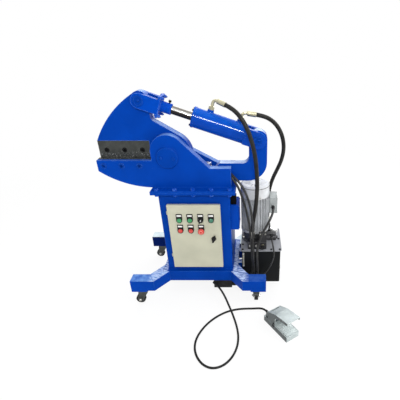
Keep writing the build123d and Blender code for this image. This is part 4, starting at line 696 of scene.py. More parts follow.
NODE_FINISHES: dict[Finish, tuple[str, ...]] = {
    BLUE: ("pivot_pin", "cylinder_pin", "body_flange", "column", "clevis_pin", "lower_blade_bolts"),
    BLUE_GLOSS: ("cylinder_barrel", "cylinder_gland"),
    BLUE_EDGED: ("rod_clevis", "flange_bolts"),
    BLUE_PLATE: ("rear_body_plate", "upper_jaw"),
    BLUE_ARM: ("lower_jaw_plate",),
    BLUE_BAR: ("c_frame",),
    BLUE_LEG: ("front_legs",),
    BLUE_BASE: ("base_beams",),
    SHADED_REAR_LEG_BLUE: ("rear_legs",),
    CREAM: ("control_door", "enclosure"),
    BLACK_ENAMEL: ("tank",),
    FILLER_TOP: ("tank_cover",),
    JUNCTION: ("junction_box",),
    PALE_GREY: ("fan_cover",),
    BOX_GREY: ("terminal_box",),
    MOTOR_GREY: ("motor",),
    BELL_GREY: ("bell_housing", "gear_pump"),
    BLADE: ("lower_blade", "upper_blade"),
    BOLT_BLACK: ("upper_blade_bolts",),
    CHROME: ("piston_rod",),
    BRASSY: ("port_elbows",),
    VALVE: ("valve_block", "solenoid_valve"),
    ALUMINIUM: ("pedal_base", "pedal_hood"),
    TREADLE: ("pedal_treadle",),
    HOSE: ("hose_front", "hose_rear"),
    CABLE: ("control_cables",),
    SHEATH: ("pedal_cord",),
    BLACK: ("button_bezels", "mode_selector", "door_lock", "cable_duct"),
    GREEN: ("start_button", "cut_button"),
    RED: ("stop_button", "open_button", "emergency_stop"),
    LAMP: ("pilot_lamp",),
    GEAR_GREY: ("control_gear",),
    CASTER: tuple(f"caster_fork_{corner.label}" for corner in Corner),
}


class Paintshop:
    """Keeps each finish's material once and puts it on nodes and pieces."""

    def __init__(self) -> None:
        """Start with no material mixed."""
        self.mixed: dict[Finish, bpy.types.Material] = {}

    def coat(self, piece: Piece, finish: Finish) -> None:
        """Give a piece one finish all over.

        Args:
            piece: Object to coat.
            finish: Finish to mix, or the one mixed before.
        """
        if finish not in self.mixed:
            self.mixed[finish] = finish.make()
        piece.data.materials.clear()
        piece.data.materials.append(self.mixed[finish])

    def coat_frame(self) -> None:
        """Give every CAD node its finish."""
        for finish, names in NODE_FINISHES.items():
            for name in names:
                self.coat(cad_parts[name], finish)
        for corner in Corner:
            tyre = Tyre(f"tyre_{corner.label}", tuple(corner.centre()), tuple(corner.axle()))
            self.coat(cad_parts[f"caster_wheel_{corner.label}"], tyre)


PAINT = Paintshop()


@dataclass(frozen=True)
class Recess:
    """Field set into one side of a block, or raised from it by a depth below nought, in millimetres."""

    side: Point
    margin: float
    depth: float


def clear() -> None:
    """Leave edit mode and deselect everything."""
    if bpy.context.object and bpy.context.object.mode != "OBJECT":
        bpy.ops.object.mode_set(mode="OBJECT")
    bpy.ops.object.select_all(action="DESELECT")


def only(piece: Piece) -> None:
    """Select one piece alone and make it the active one.

    Args:
        piece: Object to select.
    """
    clear()
    piece.select_set(True)
    bpy.context.view_layer.objects.active = piece


def pick(piece: Piece, aim: Vector) -> None:
    """Select the faces of a mesh in edit mode that face along a direction.

    Args:
        piece: Mesh object in edit mode.
        aim: Direction that the faces look.
    """
    bpy.ops.mesh.select_all(action="DESELECT")
    bpy.ops.mesh.select_mode(type="FACE")
    mesh = bmesh.from_edit_mesh(piece.data)
    for face in mesh.faces:
        face.select_set(face.normal.dot(aim) > SAME_SIDE)
    bmesh.update_edit_mesh(piece.data)


def settle(piece: Piece, name: str, place: Matrix, angle: float = SMOOTH_ANGLE) -> Piece:
    """Close a piece: outward normals, its place put into the mesh, and smooth shading between edges.

    Args:
        piece: Mesh object made at the origin.
        name: Name of the finished piece.
        place: Where the piece goes, in metres.
        angle: Sharpest turn that is shaded as smooth, in degrees.

    Returns:
        The finished piece.
    """
    only(piece)
    bpy.ops.object.mode_set(mode="EDIT")
    bpy.ops.mesh.select_all(action="SELECT")
    bpy.ops.mesh.remove_doubles(threshold=MERGE)
    bpy.ops.mesh.normals_make_consistent(inside=False)
    bpy.ops.object.mode_set(mode="OBJECT")
    piece.matrix_world = place @ piece.matrix_world
    bpy.ops.object.transform_apply(location=True, rotation=True, scale=True)
    bpy.ops.object.shade_smooth_by_angle(angle=math.radians(angle))
    return join([piece], name)


def aimed(point: Sequence[float], axis: Sequence[float], spin: float = 0.0) -> Matrix:
    """Return the place at a point in millimetres whose Z runs along an axis, spun about it by degrees."""
    turn = Vector(axis).to_track_quat("Z", "Y").to_matrix().to_4x4()
    return shift(*point) @ turn @ Matrix.Rotation(math.radians(spin), 4, "Z")


def turned(
    name: str, profile: Sequence[Ring], sides: int, place: Matrix = HOME, hollow: bool = False
) -> Piece:
    """Turn a solid: a disc raised ring by ring along its axis.

    Args:
        name: Name of the piece.
        profile: Radius and height of each ring, from the foot up, in millimetres.
        sides: Sides of each ring.
        place: Where the foot's middle goes, with the axis as its Z.
        hollow: Whether the profile runs back to its start, which leaves a hole along the axis.

    Returns:
        The finished piece.
    """
    clear()
    rings = [*profile, profile[0]] if hollow else profile
    radius, height = rings[0]
    fill = "NOTHING" if hollow else "NGON"
    bpy.ops.mesh.primitive_circle_add(vertices=sides, radius=radius * MM, fill_type=fill)
    piece = bpy.context.object
    bpy.ops.object.mode_set(mode="EDIT")
    bpy.ops.mesh.select_mode(type="EDGE" if hollow else "FACE")
    bpy.ops.mesh.select_all(action="SELECT")
    bpy.ops.transform.translate(value=(0, 0, height * MM))
    for next_radius, next_height in rings[1:]:
        rise = (0, 0, (next_height - height) * MM)
        bpy.ops.mesh.extrude_region_move(TRANSFORM_OT_translate={"value": rise})
        grow = next_radius / radius
        bpy.ops.transform.resize(value=(grow, grow, 1), center_override=(0, 0, next_height * MM))
        radius, height = next_radius, next_height
    return settle(piece, name, place)


def block(
    name: str, size: Point, edge: float, recess: Recess | None = None, place: Matrix = HOME
) -> Piece:
    """Make a block with broken edges, with a recess or a raised field on one side.

    Args:
        name: Name of the piece.
        size: Size along X, Y and Z, in millimetres.
        edge: Width of the broken edges, in millimetres.
        recess: Side that is set in, or None.
        place: Where its middle goes.

    Returns:
        The finished piece.
    """
    clear()
    bpy.ops.mesh.primitive_cube_add(size=1.0)
    piece = bpy.context.object
    piece.scale = metres(size)
    bpy.ops.object.transform_apply(location=False, rotation=False, scale=True)
    bpy.ops.object.mode_set(mode="EDIT")
    if recess:
        aim = Vector(recess.side)
        pick(piece, aim)
        bpy.ops.mesh.inset(thickness=recess.margin * MM)
        bpy.ops.mesh.extrude_region_move(TRANSFORM_OT_translate={"value": aim * (-recess.depth * MM)})
    bpy.ops.mesh.select_all(action="SELECT")
    bpy.ops.mesh.bevel(offset=edge * MM, segments=2, affect="EDGES", clamp_overlap=True)
    return settle(piece, name, place, BLOCK_ANGLE)


def bead(start: Point, end: Point, radius: float) -> Piece:
    """Lay a weld bead with its ripples.

    Args:
        start: Where the bead starts, in millimetres.
        end: Where it ends.
        radius: Half its width.

    Returns:
        The finished bead.
    """
    run = Vector(end) - Vector(start)
    count = max(BEAD_FEWEST, round(run.length / (radius * BEAD_PITCH)))
    mean, ripple, wave, pace = BEAD_RIPPLE
    profile = [(radius * BEAD_TIP, 0.0)]
    for i in range(1, count):
        swell = mean + ripple * (-1) ** i + wave * math.sin(i * pace)
        profile.append((radius * swell, run.length * i / count))
    profile.append((radius * BEAD_TIP, run.length))
    return turned("bead", profile, BEAD_SIDES, aimed(start, run))


def welds(runs: Sequence[Run], name: str) -> Piece:
    """Return weld beads that are joined, laid along runs with two ends and a radius each."""
    return join([bead(*run) for run in runs], name)


def join(pieces: Sequence[Piece], name: str) -> Piece:
    """Join pieces into the first of them.

    Args:
        pieces: Pieces to join, which are used up.
        name: Name of the joined piece.

    Returns:
        The joined piece.
    """
    only(pieces[0])
    for piece in pieces[1:]:
        piece.select_set(True)
    if len(pieces) > 1:
        bpy.ops.object.join()
    pieces[0].name = name
    pieces[0].data.name = name
    return pieces[0]


def repeat(piece: Piece, name: str, places: Sequence[Matrix]) -> Piece:
    """Copy a piece made at the origin to several places and join the copies.

    Args:
        piece: Piece to copy, which is used up.
        name: Name of the joined piece.
        places: Where each copy goes.

    Returns:
        The joined piece.
    """
    copies = []
    for place in places:
        only(piece)
        bpy.ops.object.duplicate(linked=False)
        copy = bpy.context.object
        copy.matrix_world = place
        bpy.ops.object.transform_apply(location=True, rotation=True, scale=True)
        copies.append(copy)
    bpy.data.objects.remove(piece)
    return join(copies, name)


def hex_head(across: float, height: float, washer: float) -> Piece:
    """Make a hex head with a washer under it and a crown on top.

    Args:
        across: Width across the flats.
        height: Height of the head without its washer.
        washer: Thickness of the washer.

    Returns:
        The piece at the origin, standing on its washer.
    """
    corner = across / 2 / math.cos(math.pi / 6)
    head = turned("head", [
        (corner, 0), (corner, height * 0.82), (corner * 0.86, height), (corner * 0.52, height),
        (corner * 0.5, height * 0.93),
    ], 6, shift(0, 0, washer))
    ring = turned("ring", [
        (across * 0.58, 0), (across * 0.6, washer * 0.3), (across * 0.6, washer * 0.8),
        (across * 0.56, washer),
    ], 24)
    return join([head, ring], "hex_head")


def nut(across: float, height: float, stud: float) -> Piece:
    """Make a hex nut on its washer with the end of a threaded stud.

    Args:
        across: Width across the flats.
        height: Height of the nut.
        stud: How far the stud stands out of the nut.

    Returns:
        The piece at the origin, standing on its washer.
    """
    head = hex_head(across, height, height * 0.25)
    bore, top = across * 0.29, height * 1.25
    rings = [(bore, top - 1.0)]
    for i in range(4):
        rings += [(bore, top + stud * i / 4), (bore * 0.9, top + stud * (i + 0.5) / 4)]
    end = turned("stud", [*rings, (bore, top + stud * 0.96), (bore * 0.8, top + stud)], 16)
    return join([head, end], "nut")


def socket_head(diameter: float, height: float) -> Piece:
    """Make a round screw head with a hollow socket.

    Args:
        diameter: Width of the head.
        height: Height of the head.

    Returns:
        The piece at the origin, standing on its underside.
    """
    r = diameter / 2
    return turned("screw", [
        (r * 0.97, 0), (r, height * 0.1), (r, height * 0.85), (r * 0.88, height), (r * 0.56, height),
        (r * 0.5, height * 0.94), (r * 0.48, height * 0.4), (r * 0.2, height * 0.34),
    ], 24)


def nipple() -> Piece:
    """Make a grease nipple on its hex.

    Returns:
        The piece at the origin, standing on its hex.
    """
    body = turned("hex", [(6.0, 0), (6.2, 1), (6.2, 4), (5.4, 5)], 6)
    tip = turned("tip", [
        (3.6, 4), (3.4, 6), (2.4, 8), (2.4, 9), (3.3, 10), (3.3, 11.4), (1.4, 12.6),
    ], 20)
    return join([body, tip], "nipple")


def pin_cap(radius: float) -> Piece:
    """Make the cap of a pin: a collar with a sunk face.

    Args:
        radius: Radius of the pin that it covers.

    Returns:
        The cap at the origin, standing on its underside.
    """
    return turned("cap", [
        (radius + 3.4, 0), (radius + 4, 0.6), (radius + 4, 3.0), (radius + 3, 4.0), (radius - 0.5, 4.0),
        (radius - 1.5, 3.2), (radius - 1.7, 2.2), (radius * 0.3, 2.0),
    ], 48)


def fit(piece: Piece, finish: Finish, body: Body = Body.FRAME) -> None:
    """Coat a finished piece, let it ride its body and report it.

    Args:
        piece: Finished piece.
        finish: Finish that it gets.
        body: Body that carries it.
    """
    PAINT.coat(piece, finish)
    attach(piece, body.value)
    LOG.info("%s rides on %s", piece.name, body.value)


def spread(
    piece: Piece, name: str, places: Sequence[Matrix], finish: Finish, body: Body = Body.FRAME
) -> None:
    """Copy a piece made at the origin to several places and fit the copies as one piece."""
    fit(repeat(piece, name, places), finish, body)


@dataclass
class Lamp:
    """Soft lamp that looks at the machine: its place in millimetres, face in metres and power in watts."""

    name: str
    place: Point
    size: Ring
    power: float
    target: Point = (20, 0, 600)

    def hang(self) -> None:
        """Hang the lamp where the camera can't see it."""
        light = bpy.data.lights.new(self.name, "AREA")
        light.shape = "RECTANGLE"
        light.size, light.size_y = self.size
        light.energy = self.power
        lamp = bpy.data.objects.new(self.name, light)
        lamp.location = metres(self.place)
        aim = metres(self.target) - lamp.location
        lamp.rotation_euler = aim.to_track_quat("-Z", "Y").to_euler()
        lamp.visible_camera = False
        bpy.context.scene.collection.objects.link(lamp)


@dataclass
class Stage:
    """Floor, lights and the camera at the photo's place."""

    eye: Point = (308.0, -1687.0, 1331.0)
    pitch: float = 28.8
    focal: float = 336.0
    centre: Ring = (255.0, 220.0)
    frame_px: float = 400.0
    sensor: float = 36.0
    ambient: float = 0.56
    floor_size: float = 14.0
    floor_level: float = -0.4
    floor_grey: float = 0.97
    floor_glow: float = 0.88
    floor_near: float = 1.6
    floor_far: float = 3.0
    lamps: Sequence[Lamp] = (
        Lamp("key", (-1500, -2300, 2900), (2.6, 2.6), 9.0),
        Lamp("front", (614, -2600, 2360), (1.1, 0.2), 38.0),
        Lamp("side", (2300, -900, 2100), (2.2, 2.2), 38.0),
        Lamp("top", (0, 500, 3000), (2.8, 2.8), 22.0),
        Lamp("back", (500, 2700, 1950), (3.4, 1.7), 50.0),
    )

    def build(self) -> None:
        """Set up the view, the backdrop, the floor and the lamps."""
        bpy.context.scene.view_settings.view_transform = "Standard"
        self.camera()
        self.backdrop()
        self.floor()
        for lamp in self.lamps:
            lamp.hang()

    def camera(self) -> None:
        """Put the camera where the photo was taken."""
        lens = bpy.data.cameras.new("photo_camera")
        lens.sensor_width = self.sensor
        lens.lens = self.focal / self.frame_px * self.sensor
        lens.shift_x = (self.frame_px / 2 - self.centre[0]) / self.frame_px
        lens.shift_y = (self.centre[1] - self.frame_px / 2) / self.frame_px
        camera = bpy.data.objects.new("photo_camera", lens)
        camera.location = metres(self.eye)
        camera.rotation_euler = (math.radians(90.0 - self.pitch), 0, 0)
        bpy.context.scene.collection.objects.link(camera)
        bpy.context.scene.camera = camera

    def backdrop(self) -> None:
        """Give the world a white look and a plain level of light."""
        world = bpy.data.worlds.new("studio")
        bpy.context.scene.world = world
        world.use_nodes = True
        wiring = Wiring(world.node_tree)
        level = wiring.step(wiring.seen(), 0.0, 1.0, self.ambient, 1.0)
        wiring.feed(wiring.nodes["Background"], {"Strength": level, "Color": (1, 1, 1, 1)})

    def floor(self) -> None:
        """Lay a pale floor that keeps the object's shadow."""
        clear()
        bpy.ops.mesh.primitive_plane_add(size=self.floor_size, location=(0, 0, self.floor_level * MM))
        floor = bpy.context.object
        floor.name = "floor"
        mix = Recipe("pale_floor")
        mix.shade(base_color=(*[self.floor_grey] * 3, 1), roughness=0.9, specular_ior_level=0.0)
        away = mix.vectors("LENGTH", mix.place)["Value"]
        level = mix.step(away, self.floor_near, self.floor_far, self.floor_glow)
        weight = mix.times(mix.seen(), level)
        glow = mix.add("Emission", {}).outputs[0]
        share = mix.add("MixShader", {"Fac": weight, 1: mix.shader.outputs[0], 2: glow}).outputs[0]
        mix.feed(mix.nodes["Material Output"], {"Surface": share})
        floor.data.materials.append(mix.material)


@dataclass
class Cord:
    """One cord, cable or hose on the control points of its route, in millimetres."""

    name: str
    node: str
    finish: Finish
    diameter: float
    length: float
    points: Sequence[Point]
    lay: Lay = Lay.HANGING
    swing: tuple[Point, Point] | None = None

    def line(self) -> Piece:
        """Lay a smooth spline through the route.

        Returns:
            The curve object, with no thickness yet.
        """
        curve = bpy.data.curves.new(self.name, "CURVE")
        curve.dimensions = "3D"
        curve.resolution_u = CORD_STEPS
        spline = curve.splines.new("NURBS")
        spline.points.add(len(self.points) - 1)
        for knot, point in zip(spline.points, self.points):
            knot.co = (*metres(point), 1.0)
        spline.order_u = 3
        spline.use_endpoint_u = True
        line = bpy.data.objects.new(self.name, curve)
        bpy.context.scene.collection.objects.link(line)
        return line

    def build(self) -> None:
        cord = self.line()
        only(cord)
        traced = bpy.data.meshes.new_from_object(cord)
        bpy.data.meshes.remove(traced)
        cord.data.bevel_depth = self.diameter / 2 * MM
        cord.data.bevel_resolution = CORD_ROUND
        cord.data.use_fill_caps = True
        if self.swing:
            bpy.ops.object.convert(target="MESH")
            cord = bpy.context.object
            bpy.ops.object.shade_smooth_by_angle(angle=math.radians(CORD_ANGLE))
        PAINT.coat(cord, self.finish)
        if self.swing:
            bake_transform(cord)
        else:
            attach(cord, "frame")
        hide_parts(self.node)
        LOG.info("%s is %d mm long", self.name, self.length)


@dataclass
class Cords:
    """Hoses of the cylinder, control cables and the cord of the pedal."""

    floor: float = 5.6
    hose: float = 21.0
    switch_cable: float = 12.0
    motor_cable: float = 13.0
    valve_cable: float = 9.0
    pedal: float = 11.0

    def build(self) -> None:
        """Lay every cord on its route."""
        for cord in (*self.hoses(), *self.cables(), self.pedal_cord()):
            cord.build()

    def hoses(self) -> list[Cord]:
        """Route the hoses from the cylinder's ports to the valves.

        Returns:
            The hoses.
        """
        front = Cord("hose_to_front_port", "hose_front", HOSE, self.hose, 743, [
            (171.9, -83.9, 1051.0), (207.5, -101.5, 1037.6), (248, -124, 999), (278, -138, 945),
            (299, -143, 878), (312, -143, 806), (318, -140, 730), (319, -135, 652), (315, -127, 578),
            (308, -114, 512), (300, -99, 456), (294, -86, 412), (294, -86, 378),
        ], swing=((312, -130, 600), (215, -100, 1000)))
        rear = Cord("hose_to_rear_port", "hose_rear", HOSE, self.hose, 723, [
            (312.6, -46.7, 1000.5), (353.3, -40.0, 992.9), (397, -29, 966), (430, -19, 924), (450, -7, 872),
            (457, 8, 814), (449, 28, 752), (430, 53, 692), (408, 75, 632), (392, 90, 568), (385, 96, 500),
            (384, 96, 432), (384, 96, 378),
        ], swing=((410, 70, 600), (370, -30, 960)))
        return [front, rear]

    def cables(self) -> list[Cord]:
        """Route the cables that run down to the cable box.

        Returns:
            The cables.
        """
        routes = (("upper_switch_cable", self.switch_cable, 760, [
            (185, -94, 722), (214, -111, 700), (245, -128, 665), (269, -140, 616), (285, -148, 556),
            (294, -152, 484), (297, -152, 404), (298, -152, 322), (301, -152, 242), (305, -152, 172),
            (300, -152, 126), (276, -152, 97), (232, -152, 86), (191, -152, 86),
        ]), ("lower_switch_cable", self.switch_cable, 721, [
            (185, -106, 712), (208, -115, 686), (229, -123, 647), (246, -128, 594), (262, -131, 533),
            (275, -132, 466), (283, -132, 394), (287, -132, 318), (292, -132, 244), (296, -132, 176),
            (290, -132, 126), (266, -132, 98), (232, -132, 86), (191, -132, 86),
        ]), ("motor_supply_cable", self.motor_cable, 615, [
            (407, -36, 502), (407, -76, 502), (395, -112, 482), (373, -127, 441), (349, -134, 397),
            (331, -142, 352), (321, -151, 308), (319, -158, 258), (322, -158, 204), (323, -155, 150),
            (312, -152, 101), (287, -152, 74), (244, -152, 64), (191, -152, 64),
        ]), ("valve_supply_cable", self.valve_cable, 483, [
            (398, -100, 362), (398, -138, 362), (406, -166, 334), (413, -172, 284), (404, -164, 230),
            (387, -154, 178), (363, -146, 134), (332, -139, 98), (290, -134, 74), (242, -132, 64),
            (191, -132, 64),
        ]))
        return [Cord(name, "control_cables", CABLE, *route) for name, *route in routes]

    def pedal_cord(self) -> Cord:
        """Route the cord of the pedal.

        Returns:
            The cord, which lies in one loop on the floor.
        """
        low = self.floor
        return Cord("cord_of_pedal", "pedal_cord", SHEATH, self.pedal, 1290, [
            (89.9, -177.5, 74.7), (111.0, -204.0, 72.0), (141, -248, 50), (163, -293, 32), (185, -341, 18),
            (204, -393, 9), (219, -448, low), (226, -508, low), (220, -566, low), (198, -622, low),
            (162, -662, low), (116, -677, low), (72, -660, low), (37, -620, low), (16, -570, low),
            (13, -515, low), (28, -460, low), (58, -404, low), (100, -356, low), (146, -322, low),
            (190, -304, low), (230, -296, low), (265, -294, low), (299, -295, 7.1), (335, -297, 11.6),
            (361.6, -310.3, 16), (378.8, -334.9, 16),
        ], Lay.LOOSE)


@dataclass
class RamTrim:
    """Screws, collars and caps on the cylinder, its rod and its two pins."""

    rear: Point = (323.0, -57.0, 889.0)
    front: Point = (-221.0, -57.0, 1072.0)
    flange_back: float = 479.0
    flange_front: float = 489.0
    flange_rise: float = 42.0
    flange_side: float = 30.0
    nut_turn: float = 12.0
    head_turn: float = 9.0
    sleeve_end: float = 429.0
    sleeve_screw: float = 443.0
    sleeve_radius: float = 25.5
    gland_face: float = 328.0
    screw_circle: float = 41.0
    barrel_end: float = 68.0
    barrel_radius: float = 47.5
    ports: Ring = (253.0, 108.0)
    clevis_pin_radius: float = 20.0
    rear_pin_radius: float = 18.0
    cap_reach: float = 45.7
    nipple_shift: Point = (4.0, -1.8, 3.0)

    def axis(self) -> Vector:
        """Return the direction from the rear pin to the clevis pin."""
        return (Vector(self.front) - Vector(self.rear)).normalized()

    def up(self) -> Vector:
        """Return the direction square to the axis, upwards."""
        return self.at(0, 1) - self.at(0)

    def at(self, reach: float, rise: float = 0.0, side: float = 0.0) -> Vector:
        """Find a place on the cylinder.

        Args:
            reach: Distance from the rear pin along the axis.
            rise: Distance above the axis.
            side: Distance from the axis towards the back.

        Returns:
            The place, in millimetres.
        """
        axis = self.axis()
        up = Vector((axis.z, 0, -axis.x))
        return Vector(self.rear) + axis * reach + up * rise + Vector((0, side, 0))

    def build(self) -> None:
        """Make and fit the pieces."""
        self.clevis()
        self.barrel()
        self.pin("clevis_pin", self.front, self.clevis_pin_radius, Body.ROD)
        self.pin("rear_pin", self.rear, self.rear_pin_radius, Body.FRAME)

    def clevis(self) -> None:
        """Bolt the clevis to its flange and lock the rod's sleeve."""
        axis, up = self.axis(), self.up()
        corners = [(self.flange_rise * rise, self.flange_side * side) for rise in ENDS for side in ENDS]
        spread(nut(13, 8, 5), "clevis_nuts", [
            aimed(self.at(self.flange_back, *corner), -axis, self.nut_turn * i)
            for i, corner in enumerate(corners)
        ], BLUE_EDGED, Body.ROD)
        spread(hex_head(13, 6, 1.5), "clevis_bolt_heads", [
            aimed(self.at(self.flange_front, *corner), axis, self.head_turn * i)
            for i, corner in enumerate(corners)
        ], BLUE_EDGED, Body.ROD)
        fit(turned("sleeve_set_screw", [
            (3.6, -2), (3.6, 5), (6.6, 5.2), (6.9, 6), (6.9, 13.4), (6.2, 14.4), (3.4, 14.4), (3.2, 13.6),
            (3.0, 9.5),
        ], 24, aimed(self.at(self.sleeve_screw, self.sleeve_radius), up)), BOLT_BLACK, Body.ROD)
        fit(turned("sleeve_lip", [
            (20.6, -1.6), (23, -1.6), (25, -0.6), (26, 1.2), (26, 3.4), (25.2, 4.4), (20.6, 4.4),
        ], 48, aimed(self.at(self.sleeve_end), axis), hollow=True), BLUE_EDGED, Body.ROD)

    def barrel(self) -> None:
        """Dress the gland, the ports and the barrel's back end."""
        axis, up = self.axis(), self.up()
        spread(socket_head(10, 6), "gland_screws", [
            aimed(self.at(self.gland_face, *place), axis) for place in circle(self.screw_circle, 6, 30)
        ], BOLT_BLACK, Body.CYLINDER)
        fit(turned("rod_wiper", [
            (20.5, -1), (27, -1), (27, 1.6), (25.5, 2.6), (22.5, 3.0), (20.5, 4.4),
        ], 48, aimed(self.at(self.gland_face), axis), hollow=True), BLACK, Body.CYLINDER)
        rim = self.barrel_radius
        fit(turned("barrel_end_weld", [
            (rim - 1, -4), (rim + 0.8, -3.2), (rim + 2.0, -1.6), (rim + 2.3, 0.4), (rim + 1.7, 2.4),
            (rim - 1, 4),
        ], 64, aimed(self.at(self.barrel_end), axis), hollow=True), BLUE_GLOSS, Body.CYLINDER)
        spread(turned("collar", [
            (14.6, -5), (21, -5), (20.2, -1.5), (18.6, 0.9), (16.4, 2.2), (14.6, 2.8),
        ], 40, hollow=True), "port_welds", [
            aimed(self.at(port, rim), up) for port in self.ports
        ], BLUE_GLOSS, Body.CYLINDER)

    def pin(self, name: str, centre: Point, radius: float, body: Body) -> None:
        """Cap both ends of a pin and give it a grease nipple.

        Args:
            name: Name of the pin.
            centre: Middle of the pin.
            radius: Radius of the pin.
            body: Body that carries it.
        """
        front, back = (Vector(centre) + Vector((0, self.cap_reach * end, 0)) for end in ENDS)
        spread(pin_cap(radius), f"{name}_caps", [
            aimed(front, FRONT), aimed(back, BACK),
        ], BLUE, body)
        spread(nipple(), f"{name}_nipple", [
            aimed(front + Vector(self.nipple_shift), FRONT),
        ], BLUE, body)


@dataclass
class BodyTrim:
    """Pivot fittings, stop bolt and weld beads of the body and the stand."""

    pivot: Point = (-115.0, -134.0, 813.0)
    plates: Ring = (-122.0, 8.0)
    plate_ends: Ring = (-190.0, 186.0)
    head_radius: float = 51.0
    nipple_shift: Ring = (-27.0, 3.0)
    lock_shift: Ring = (31.0, -3.0)
    stop: Point = (72.0, -57.0, 735.0)
    stop_head_rise: float = 16.0
    body_bead: float = 4.5
    flange_top: float = 658.0
    upright_back: float = 189.0
    upright_sides: Ring = (-82.0, -32.0)
    upright_run: Ring = (662.0, 733.0)
    column_bead: float = 3.8
    column_half: Ring = (179.0, 143.0)
    column_gap: float = 2.0
    column_ends: Ring = (168.0, 638.0)
    leg_foot: float = 108.0
    leg_tip: Ring = (240.0, 259.0)
    leg_heel: Ring = (273.0, 198.0)
    leg_seam: Point = (210.0, 168.0, 108.0)
    leg_beads: Point = (2.4, 3.0, 1.4)

    def build(self) -> None:
        """Make and fit the pieces."""
        x, y, z = self.pivot
        front, back = self.plates
        r = self.head_radius
        fit(turned("pivot_head_weld", [
            (r - 1, -1), (r + 6, -1), (r + 4.2, 1.2), (r + 1.8, 3.0), (r - 1, 4.6),
        ], 72, aimed((x, front, z), FRONT), hollow=True), BLUE)
        for name, fitting, (side, rise) in (
            ("pivot_nipple", nipple(), self.nipple_shift),
            ("pivot_lock_screw", socket_head(15, 3.5), self.lock_shift),
        ):
            spread(fitting, name, [aimed((x + side, y, z + rise), FRONT)], BLUE)
        spread(hex_head(88, 16, 6), "pivot_back_nut", [aimed((x, back, z), BACK, 10)], BLUE)
        x, y, z = self.stop
        low = repeat(nut(30, 10, 8), "stop_nut", [aimed(self.stop, UP, 20)])
        place = aimed((x, y, z + self.stop_head_rise), UP, 8)
        high = repeat(hex_head(30, 15, 2), "stop_head", [place])
        fit(join([low, high], "stop_bolt"), BRIGHT)
        self.welds()

    def welds(self) -> None:
        """Lay the weld beads of the body, the column and the legs."""
        (left, right), level, back = self.plate_ends, self.flange_top, self.upright_back
        low, high = self.upright_run
        body = [((left, y, level), (right, y, level), self.body_bead) for y in self.plates]
        body += [((back, y, low), (back, y, high), self.body_bead) for y in self.upright_sides]
        fit(welds(body, "body_welds"), BLUE)
        (wide, deep), gap = self.column_half, self.column_gap
        column: list[Run] = []
        for z in self.column_ends:
            for y in (-deep - gap, deep + gap):
                column.append(((-wide, y, z), (wide, y, z), self.column_bead))
            for x in (-wide - gap, wide + gap):
                column.append(((x, -deep, z), (x, deep, z), self.column_bead))
        fit(welds(column, "column_welds"), BLUE)
        top, foot = self.column_ends[0], self.leg_foot
        (tip, end), (heel, start), (seam, far, near) = self.leg_tip, self.leg_heel, self.leg_seam
        edge, inner, post = self.leg_beads
        legs: list[Run] = []
        for x in ENDS:
            for y in ENDS:
                legs.append(((x * tip, y * end, top), (x * heel, y * start, top), edge))
                legs.append(((x * seam, y * far, top), (x * seam, y * near, top), inner))
                legs.append(((x * tip, y * end, foot), (x * tip, y * end, top - gap), post))
        fit(welds(legs, "leg_welds"), BLUE_LEG)


